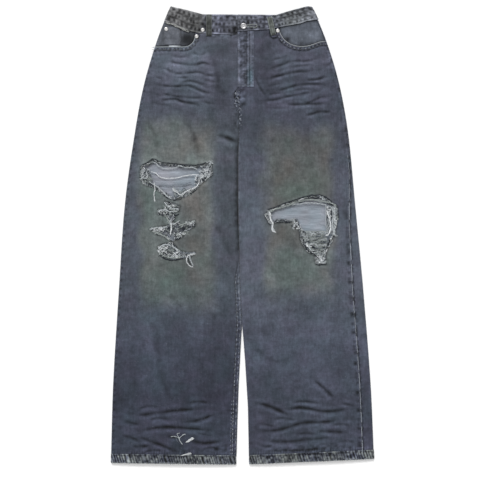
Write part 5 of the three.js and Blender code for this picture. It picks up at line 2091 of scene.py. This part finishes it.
# Each row is a maker of threads and what it is given.
RIGHT_THREADS = [
    # The wide rip: one long white thread across it, bunches at both ends, and rolled lower edges.
    (cord, [(-219, 152), (-207, 149), (-198, 140), (-185, 137), (-160, 137), (-140, 142), (-115, 145),
            (-92, 143), (-78, 146)], 0.95, WHITE, 1, -0.6, 0.3),
    (cord, [(-211, 126), (-209, 112), (-211, 98), (-209, 80)], 1.0, WHITE, 3, 0.5, 0.35),
    (cord, [(-226, 130), (-206, 118), (-192, 106), (-178, 92), (-168, 86)], 1.0, PALE, 4, 0.3),
    (cord, [(-222, 124), (-205, 112), (-190, 99), (-178, 86)], 1.0, DARK, 5, 0.1),
    (cord, [(-168, 112), (-158, 104), (-148, 96), (-140, 102), (-128, 108), (-112, 115), (-104, 126)],
     1.1, WHITE, 6, 0.2, 0.9),
    (cord, [(-166, 84), (-150, 86), (-138, 94), (-122, 101), (-108, 111)], 1.0, DARK, 7, 0.0),
    (cord, [(-200, 121), (-180, 119), (-160, 121), (-140, 122), (-122, 127)], 0.8, GREY, 8, -0.9, 0.8),
    (cord, [(-214, 176), (-206, 172), (-196, 163), (-180, 160), (-160, 162), (-150, 166), (-138, 162),
            (-120, 162), (-108, 158)], 0.8, PALE, 9, 0.1, 0.7),
    (cord, [(-240, 168), (-224, 176), (-212, 183), (-196, 175), (-170, 172), (-140, 169), (-110, 168),
            (-86, 173)], 0.9, DARK, 10, 0.3, 0.5),
    (tangle, (-232, 148), (9, 12), 60, 11, 0.65, PALE, 13),
    (tangle, (-226, 132), (10, 6), 26, 12, 0.6, CREAM, 11),
    (tangle, (-88, 152), (11, 14), 50, 13, 0.65, PALE, 12),
    (tangle, (-104, 132), (9, 10), 34, 14, 0.6, WHITE, 11),
    (tangle, (-78, 172), (6, 5), 16, 15, 0.6, PALE, 9),
    (tangle, (-140, 104), (26, 9), 44, 16, 0.6, CREAM, 12),
    # The second rip: two curled rolls and a strand that joins it to the third.
    (cord, [(-186, 79), (-178, 70), (-166, 64), (-152, 63)], 1.3, PALE, 21, 0.4),
    (cord, [(-183, 74), (-172, 64), (-156, 57)], 1.1, CREAM, 22, 0.3),
    (cord, [(-203, 56), (-194, 60), (-182, 60), (-172, 56), (-160, 58)], 1.2, PALE, 23, 0.4),
    (cord, [(-188, 55), (-180, 42), (-174, 30), (-170, 22)], 1.1, CREAM, 24, 0.5),
    (cord, [(-203, 51), (-192, 48), (-180, 50)], 1.1, DARK, 25, 0.2),
    (cord, [(-168, 54), (-160, 48), (-152, 52)], 1.1, DARK, 26, 0.2),
    (tangle, (-172, 66), (14, 7), 40, 27, 0.55, CREAM, 11, 0.4),
    (tangle, (-182, 52), (18, 7), 40, 28, 0.55, CREAM, 11, 0.3),
    # The third rip: rolled edges with a white strip down its middle.
    (cord, [(-222, 14), (-206, 19), (-190, 20), (-176, 22)], 1.0, PALE, 31, 0.3),
    (cord, [(-216, 10), (-200, 4), (-186, -2), (-174, -12)], 1.2, CREAM, 32, 0.3),
    (cord, [(-172, 30), (-170, 20), (-171, 10), (-172, 2)], 1.5, WHITE, 33, 0.1, 0.3),
    (cord, [(-175, 30), (-168, 27), (-158, 30), (-150, 36)], 1.1, PALE, 34, 0.4),
    (cord, [(-152, 24), (-138, 28), (-124, 30), (-114, 36)], 1.3, CREAM, 35, 0.4),
    (cord, [(-150, 16), (-136, 18), (-120, 21)], 1.2, DARK, 36, 0.1),
    (cord, [(-160, 2), (-150, -2), (-140, 4), (-128, 10)], 1.1, CREAM, 37, 0.2),
    (cord, [(-164, -10), (-154, -8), (-146, -2)], 1.2, DARK, 38, 0.2),
    (cord, [(-212, 12), (-196, 12), (-180, 14)], 1.0, GREY, 39, -0.4),
    (tangle, (-190, 10), (20, 8), 44, 40, 0.6, CREAM, 12, 0.5),
    (tangle, (-150, 12), (20, 12), 54, 41, 0.6, CREAM, 11, 0.3),
    (tangle, (-126, 28), (10, 6), 22, 42, 0.6, PALE, 9, 0.3),
    # The fourth rip: a curled roll of fringe, and a thick loop that hangs below it.
    (cord, [(-200, -32), (-192, -24), (-180, -22), (-168, -26), (-158, -32), (-150, -40)],
     1.3, PALE, 51, 0.3),
    (cord, [(-200, -40), (-190, -48), (-176, -52), (-160, -54), (-146, -50)], 1.4, CREAM, 52, 0.3),
    (cord, [(-198, -46), (-184, -56), (-166, -59), (-140, -54), (-122, -50)], 1.2, DARK, 53, 0.2),
    (cord, [(-112, -44), (-122, -45), (-130, -48), (-134, -57), (-131, -67), (-124, -74), (-118, -75)],
     1.25, WHITE, 54, 0.7, 0.3),
    (cord, [(-127, -48), (-125, -58), (-121, -66), (-117, -72)], 1.1, PALE, 55, 0.6, 0.3),
    (cord, [(-130, -52), (-128, -62), (-124, -70)], 0.8, DARK, 56, 0.7, 0.3),
    (cord, [(-150, -38), (-138, -42), (-124, -42), (-112, -41)], 1.1, GREY, 57, 0.2),
    (tangle, (-182, -38), (17, 11), 84, 58, 0.62, CREAM, 11),
    (tangle, (-152, -46), (18, 7), 44, 59, 0.6, PALE, 11, 0.4),
    (tangle, (-190, -36), (11, 9), 46, 61, 0.8, WHITE, 9),
    (tangle, (-166, -46), (12, 5), 26, 62, 0.75, WHITE, 9),
    (tangle, (-180, -44), (20, 8), 30, 63, 0.8, DARK, 8),
    (tangle, (-198, 14), (14, 3), 26, 64, 0.7, WHITE, 12, 0.8),
    (tangle, (-150, 0), (14, 6), 24, 65, 0.7, WHITE, 9, 0.5),
    (tangle, (-158, 14), (22, 8), 26, 66, 0.8, DARK, 8, 0.4),
    (tangle, (-126, 28), (10, 4), 16, 67, 0.7, WHITE, 8, 0.4),
    (tangle, (-172, 67), (13, 5), 16, 68, 0.75, WHITE, 9, 0.4),
    (tangle, (-176, 60), (18, 7), 22, 69, 0.8, DARK, 8, 0.4),
    (tangle, (-188, 56), (11, 4), 12, 70, 0.75, WHITE, 8, 0.4),
    (tangle, (-233, 150), (8, 12), 24, 71, 0.8, WHITE, 8),
    (tangle, (-230, 138), (9, 9), 18, 72, 0.8, DARK, 7),
    (tangle, (-92, 148), (12, 9), 24, 73, 0.8, WHITE, 8),
    (tangle, (-98, 136), (10, 8), 16, 74, 0.8, DARK, 6),
]
# The left rip: its rolled upper edge, and the long threads at both of its sides.
LEFT_THREADS = [
    (cord, [(62, 56), (74, 61), (92, 66), (112, 73), (122, 78), (140, 82), (160, 86), (180, 85), (196, 81),
            (212, 77), (224, 71)], 1.0, CREAM, 61, 0.4, 0.6),
    (cord, [(118, 74), (140, 76), (160, 78), (185, 76), (200, 74)], 0.9, PALE, 62, -0.2, 0.5),
    (cord, [(150, 84), (170, 84), (190, 80)], 0.9, CREAM, 63, 0.1, 0.5),
    (cord, [(60, 62), (80, 68), (110, 80), (140, 90), (165, 96), (190, 95), (212, 82)], 1.0, DARK, 64, 0.3),
    (cord, [(64, 56), (66, 46), (68, 36), (72, 26), (71, 15), (79, 6)], 1.35, WHITE, 65, 0.5, 0.5),
    (cord, [(70, 27), (71, 20), (76, 12)], 1.0, PALE, 66, 0.6, 0.4),
    (cord, [(78, 33), (94, 32), (112, 32), (120, 38)], 0.9, DARK, 67, 0.1, 0.7),
    (cord, [(112, 36), (120, 38), (127, 28), (136, 20), (146, 10)], 1.1, PALE, 68, 0.3, 0.9),
    (cord, [(132, 24), (142, 14), (150, 6)], 1.0, DARK, 69, 0.1, 0.6),
    (cord, [(126, 28), (120, 20), (122, 14)], 0.9, PALE, 70, 0.4, 0.5),
    (bundle, [(198, 74), (224, 68)], [(202, 4), (221, 2)], 9, 0.8, PALE, 300, 0.0, 2.4),
    (cord, [(201, 60), (205, 48), (209, 34), (210, 18), (206, 4), (198, 0)], 1.4, WHITE, 71, 0.5, 0.4),
    (cord, [(212, 68), (218, 54), (215, 36), (216, 18), (219, 4), (226, -2)], 1.3, PALE, 72, 0.5, 0.5),
    (cord, [(203, 56), (202, 40), (204, 20)], 1.0, DARK, 73, 0.1, 0.4),
]
# The funnel that the left rip ends in: bunches and rolled edges.
FUNNEL_THREADS = [
    (tangle, (170, -6), (26, 12), 80, 81, 0.55, CREAM, 14, 0.75),
    (tangle, (176, -32), (18, 10), 50, 82, 0.6, CREAM, 11, 0.2),
    (tangle, (188, -54), (9, 12), 46, 83, 0.6, PALE, 9),
    (tangle, (150, -14), (6, 14), 30, 84, 0.6, PALE, 9),
    (tangle, (169, -29), (3, 2.5), 12, 93, 0.8, DARK, 6, 0.0, 0.3),
    (tangle, (158, -22), (8, 5), 22, 94, 0.75, WHITE, 8),
    (tangle, (186, -58), (9, 9), 26, 95, 0.75, WHITE, 8),
    (tangle, (160, 2), (18, 4), 26, 96, 0.6, PALE, 12, 0.8),
    (tangle, (206, 40), (5, 26), 18, 97, 0.6, GREY, 9),
    (tangle, (222, 40), (4, 24), 26, 98, 0.6, WHITE, 8),
    (tangle, (64, 56), (5, 5), 14, 99, 0.6, PALE, 8),
    (tangle, (126, 26), (9, 8), 26, 101, 0.7, DARK, 7),
    (tangle, (130, 24), (10, 9), 26, 102, 0.7, WHITE, 6),
    (tangle, (96, 33), (22, 2), 22, 103, 0.6, DARK, 7, 0.7),
    (tangle, (66, 44), (4, 10), 20, 104, 0.7, WHITE, 6),
    (tangle, (212, 40), (7, 34), 22, 105, 0.75, DARK, 8),
    (tangle, (206, 56), (5, 12), 20, 106, 0.75, WHITE, 7),
    (cord, [(172, -36), (164, -35), (159, -29), (161, -22), (168, -20), (176, -22), (179, -28)],
     0.9, PALE, 85, 0.6, 0.8),
    (cord, [(157, -24), (164, -20), (174, -19), (182, -24)], 1.3, CREAM, 86, 0.6, 0.4),
    (cord, [(141, -2), (146, -16), (152, -30), (162, -40), (172, -46), (180, -54)], 1.1, DARK, 87, 0.4, 0.6),
    (cord, [(177, -58), (186, -64), (198, -66)], 1.4, PALE, 88, 0.4, 0.4),
    (cord, [(176, -68), (187, -70), (200, -68)], 1.2, DARK, 89, 0.4, 0.4),
    (cord, [(206, -6), (208, -14), (204, -24)], 1.3, DARK, 90, 0.3, 0.4),
]
# A small tear above the right hem.
SHIN_THREADS = [
    (cord, [(-171, -480), (-160, -480), (-151, -483), (-142, -476), (-136, -474)], 0.75, PALE, 91, 0.4, 0.3),
    (cord, [(-151, -483), (-148, -492), (-143, -499)], 0.85, PALE, 92, 0.4, 0.3),
    (cord, [(-151, -483), (-156, -474), (-150, -471)], 0.7, PALE, 93, 0.4, 0.3),
    (cord, [(-160, -481), (-156, -490), (-152, -494)], 0.6, GREY, 94, 0.4, 0.3),
    (bundle, [(-135, -494), (-126, -490)], [(-119, -482), (-116, -485)], 9, 0.9, WHITE, 500, 0.4, 0.5),
    (bundle, [(-149, -526), (-142, -524)], [(-124, -518), (-121, -521)], 6, 0.8, WHITE, 520, 0.4, 0.4),
]


def made(rows):
    """The threads of every row of a table, in its order."""
    threads = []
    for make, *values in rows:
        threads += make(*values)
    return threads


right_threads = []
for index, outline in enumerate(right_cuts):
    right_threads += fray(outline, 200 + index, long=7.0 if index == 0 else 6.0)
    right_threads += fringe(outline, 220 + index, per_length=0.3 if index == 0 else 0.42, bare=clean_top)
right_threads += made(RIGHT_THREADS)
add_threads("right_knee_fray", right_threads)

left_threads = []
for index, outline in enumerate(left_cuts):
    left_threads += fray(outline, 240 + index, long=6.5)
    left_threads += fringe(outline, 260 + index, per_length=0.36)
left_threads += made(LEFT_THREADS)
funnel_left = along([[10, 138], [1, 141], [-15, 146], [-34, 155], [-43, 171], [-51, 178], [-66, 178]])
funnel_right = along([[10, 206], [1, 200], [-15, 203], [-30, 200], [-43, 198], [-66, 197]])
for index, y in enumerate(np.arange(10, -66, -2.9)):
    left_x = float(funnel_left(y))
    right_x = float(funnel_right(y))
    wave = 1.6 * math.sin(1.7 * index)
    middle = (left_x + right_x) / 2
    tone = (CREAM, PALE, PALE, CREAM, GREY)[index % 5]
    level_cord = [(left_x, y), (mix(left_x, middle, 0.5), y + wave), (middle, y - wave),
                  (mix(middle, right_x, 0.5), y + wave), (right_x, y)]
    left_threads += cord(level_cord, 0.75, tone, 400 + index, -0.3, 0.8)
left_threads += made(FUNNEL_THREADS)
add_threads("left_knee_fray", left_threads)
add_threads("shin_fray", made(SHIN_THREADS))


def broken(points, pitch, share, radius, color, seed, lift=0.1):
    """A ridge along a seam, as short lengths with gaps between them: pale ones are worn ridges, and dark
    ones are darker lines, which below the pocket mouths are painted shadow.
    """
    random = np.random.default_rng(seed)
    line = resample(np.array(points, float), 1.6)
    result = []
    place = 0.0
    while place < len(line) - 3:
        length = max(3, int(pitch * share * random.uniform(0.6, 1.4) / 1.6))
        part = line[int(place):int(place) + length]
        if len(part) > 2:
            shade_of = color * random.uniform(0.55, 1.15)
            result.append((laid(part + random.normal(0, 0.25, (len(part), 2)), lift), radius, shade_of))
        place += length + pitch * (1 - share) * random.uniform(0.6, 1.5) / 1.6
    return result


def hem_fray(line, low, high, seed):
    """Short threads that stand out of a hem's worn lower edge."""
    random = np.random.default_rng(seed)
    result = []
    for x in np.arange(low, high, 2.8):
        reach = random.uniform(0.2, 2.2)
        lean = random.normal(0, 1.1)
        edge_y = float(line(x))
        places = [(x, edge_y + 3.5), (x + 0.5 * lean, edge_y + 1), (x + lean, edge_y - reach)]
        color = (PALE, CREAM, GREY, DARK)[random.integers(4)]
        result.append((laid(places, 0.8), 0.6, color * random.uniform(0.5, 0.95)))
    return result


def between(points, low_x, high_x):
    """The part of a line from low_x to high_x."""
    return points[(points[:, 0] > low_x) & (points[:, 0] < high_x)]


RIDGE = linear((164, 170, 182))
PALE_RIDGE = linear((188, 194, 206))
right_rim = between(offset_line(curve(RIGHT_POCKET_MOUTH, 4), 0.7), -224, 0)
left_rim = between(offset_line(curve(LEFT_POCKET_MOUTH, 4), -0.7), 0, 206)
below_fly = np.arange(345, CROTCH_Y + 14, -4.0)
fold_y = np.arange(CROTCH_Y - 30, -100, -14.0)
strip_y = np.arange(-522, -88, 8.0)
foot_y = strip_y[strip_y < -380]
seam_side_y = side_y[side_y < 200]
EDGE_THREADS = [
    (cord, [(-184, 508), (-170, 504), (-155, 498), (-141, 492), (-128, 486)], 1.3,
     linear((172, 174, 172)), 601, 0.6, 0.6),
    # A dark cord round the left front loop's side and lower end stands for the shadow beside it: painted
    # shadow.
    (cord, [(57, 520), (62, 500), (66, 480), (72, 471), (82, 472)], 1.5, DARK, 603, 0.5, 0.4),
    # Worn ridges along the pocket mouths, and dark ones below them that stand for the shade under the
    # stitched bands: painted shadow.
    (broken, offset_line(left_rim, -5.5), 9, 0.55, 0.8, RIDGE, 611),
    (broken, offset_line(right_rim, 5.5), 9, 0.55, 0.7, linear((128, 136, 134)), 612),
    (broken, offset_line(left_rim, -9.5), 12, 0.75, 0.9, DARK, 613),
    (broken, offset_line(right_rim, 9.5), 14, 0.6, 0.8, DARK, 614),
    # The bunched seam below the fly.
    (broken, beside(centre_seam, 2.2, below_fly), 8, 0.6, 0.95, RIDGE, 624, 0.3),
    (broken, beside(centre_seam, 9, below_fly[:12]), 9, 0.5, 0.9, RIDGE, 625, 0.3),
    (tangle, (-13, 328), (5, 15), 16, 626, 0.8, RIDGE, 7, 0.5, 0.2),
    (tangle, (-12, 330), (5, 15), 12, 627, 0.85, DARK, 6, 0.5, 0.2),
    (tangle, (-6, 284), (3, 22), 14, 628, 0.7, RIDGE, 6, 0.4, 0.3),
    # The legs' seams.
    (broken, beside(left_inner, 2.4, fold_y), 26, 0.7, 0.7, linear((124, 129, 140)), 615),
    (broken, beside(inseam, 1.2, strip_y), 11, 0.6, 0.9, RIDGE, 616),
    (broken, beside(inseam, 1.2, foot_y), 8, 0.55, 1.0, PALE_RIDGE, 621, 0.25),
    (broken, beside(inseam, -3.0, foot_y), 9, 0.45, 0.8, RIDGE, 622),
    (broken, beside(inseam, 8.2, strip_y), 14, 0.55, 0.85, RIDGE, 617),
    (broken, beside(outseam, -0.8, seam_side_y), 38, 0.86, 0.9, RIDGE, 618),
    (broken, beside(outseam, 1.6, seam_side_y), 34, 0.7, 0.75, DARK, 619),
    (broken, beside(right_outline, 4.5, side_y), 19, 0.22, 0.8, DARK, 620),
    (hem_fray, right_hem_line, -311, -18, 631),
    (hem_fray, left_hem_line, 19, 311, 632),
]
edge_threads = [
    (laid(right_rim[::2], 0.5), 1.0, linear((176, 184, 190))),
    (laid(left_rim[::2], 0.35), 0.95, linear((168, 172, 176))),
]
add_threads("edge_cords", edge_threads + made(EDGE_THREADS))


# ---------------------------------------------------------------- floor, light and camera

FLOOR_HALF = 40.0
FLOOR_LEVEL = -0.0006


def make_floor():
    mesh = bpy.data.meshes.new("floor")
    corners = [(-1, -1), (1, -1), (1, 1), (-1, 1)]
    mesh.from_pydata([(x * FLOOR_HALF, y * FLOOR_HALF, FLOOR_LEVEL) for x, y in corners], [], [[0, 1, 2, 3]])
    floor = bpy.data.objects.new("floor", mesh)
    bpy.context.scene.collection.objects.link(floor)
    nodes = Nodes("pale_floor")
    nodes.shader.inputs["Base Color"].default_value = (0.93, 0.93, 0.93, 1)
    nodes.shader.inputs["Roughness"].default_value = 0.9
    nodes.shader.inputs["Specular IOR Level"].default_value = 0.1
    nodes.shader.inputs["Emission Color"].default_value = (1, 1, 1, 1)
    nodes.shader.inputs["Emission Strength"].default_value = 0.16
    mesh.materials.append(nodes.material)


def make_light():
    world = bpy.data.worlds.new("studio")
    world.use_nodes = True
    world.node_tree.nodes["Background"].inputs["Color"].default_value = (1, 1, 1, 1)
    world.node_tree.nodes["Background"].inputs["Strength"].default_value = 0.62
    bpy.context.scene.world = world
    sun = bpy.data.lights.new("soft_sun", "SUN")
    sun.energy = 2.1
    sun.angle = math.radians(24)
    lamp = bpy.data.objects.new("soft_sun", sun)
    lamp.rotation_euler = (math.radians(-46), math.radians(-12), 0)
    bpy.context.scene.collection.objects.link(lamp)


def make_camera():
    camera = bpy.data.cameras.new("camera")
    camera.sensor_width = 36
    camera.lens = 125.5
    camera.clip_end = 20
    holder = bpy.data.objects.new("camera", camera)
    holder.location = (-0.006, -0.0108, 4.0)
    bpy.context.scene.collection.objects.link(holder)
    bpy.context.scene.camera = holder


make_floor()
make_light()
make_camera()
bpy.context.scene.view_settings.view_transform = "Standard"
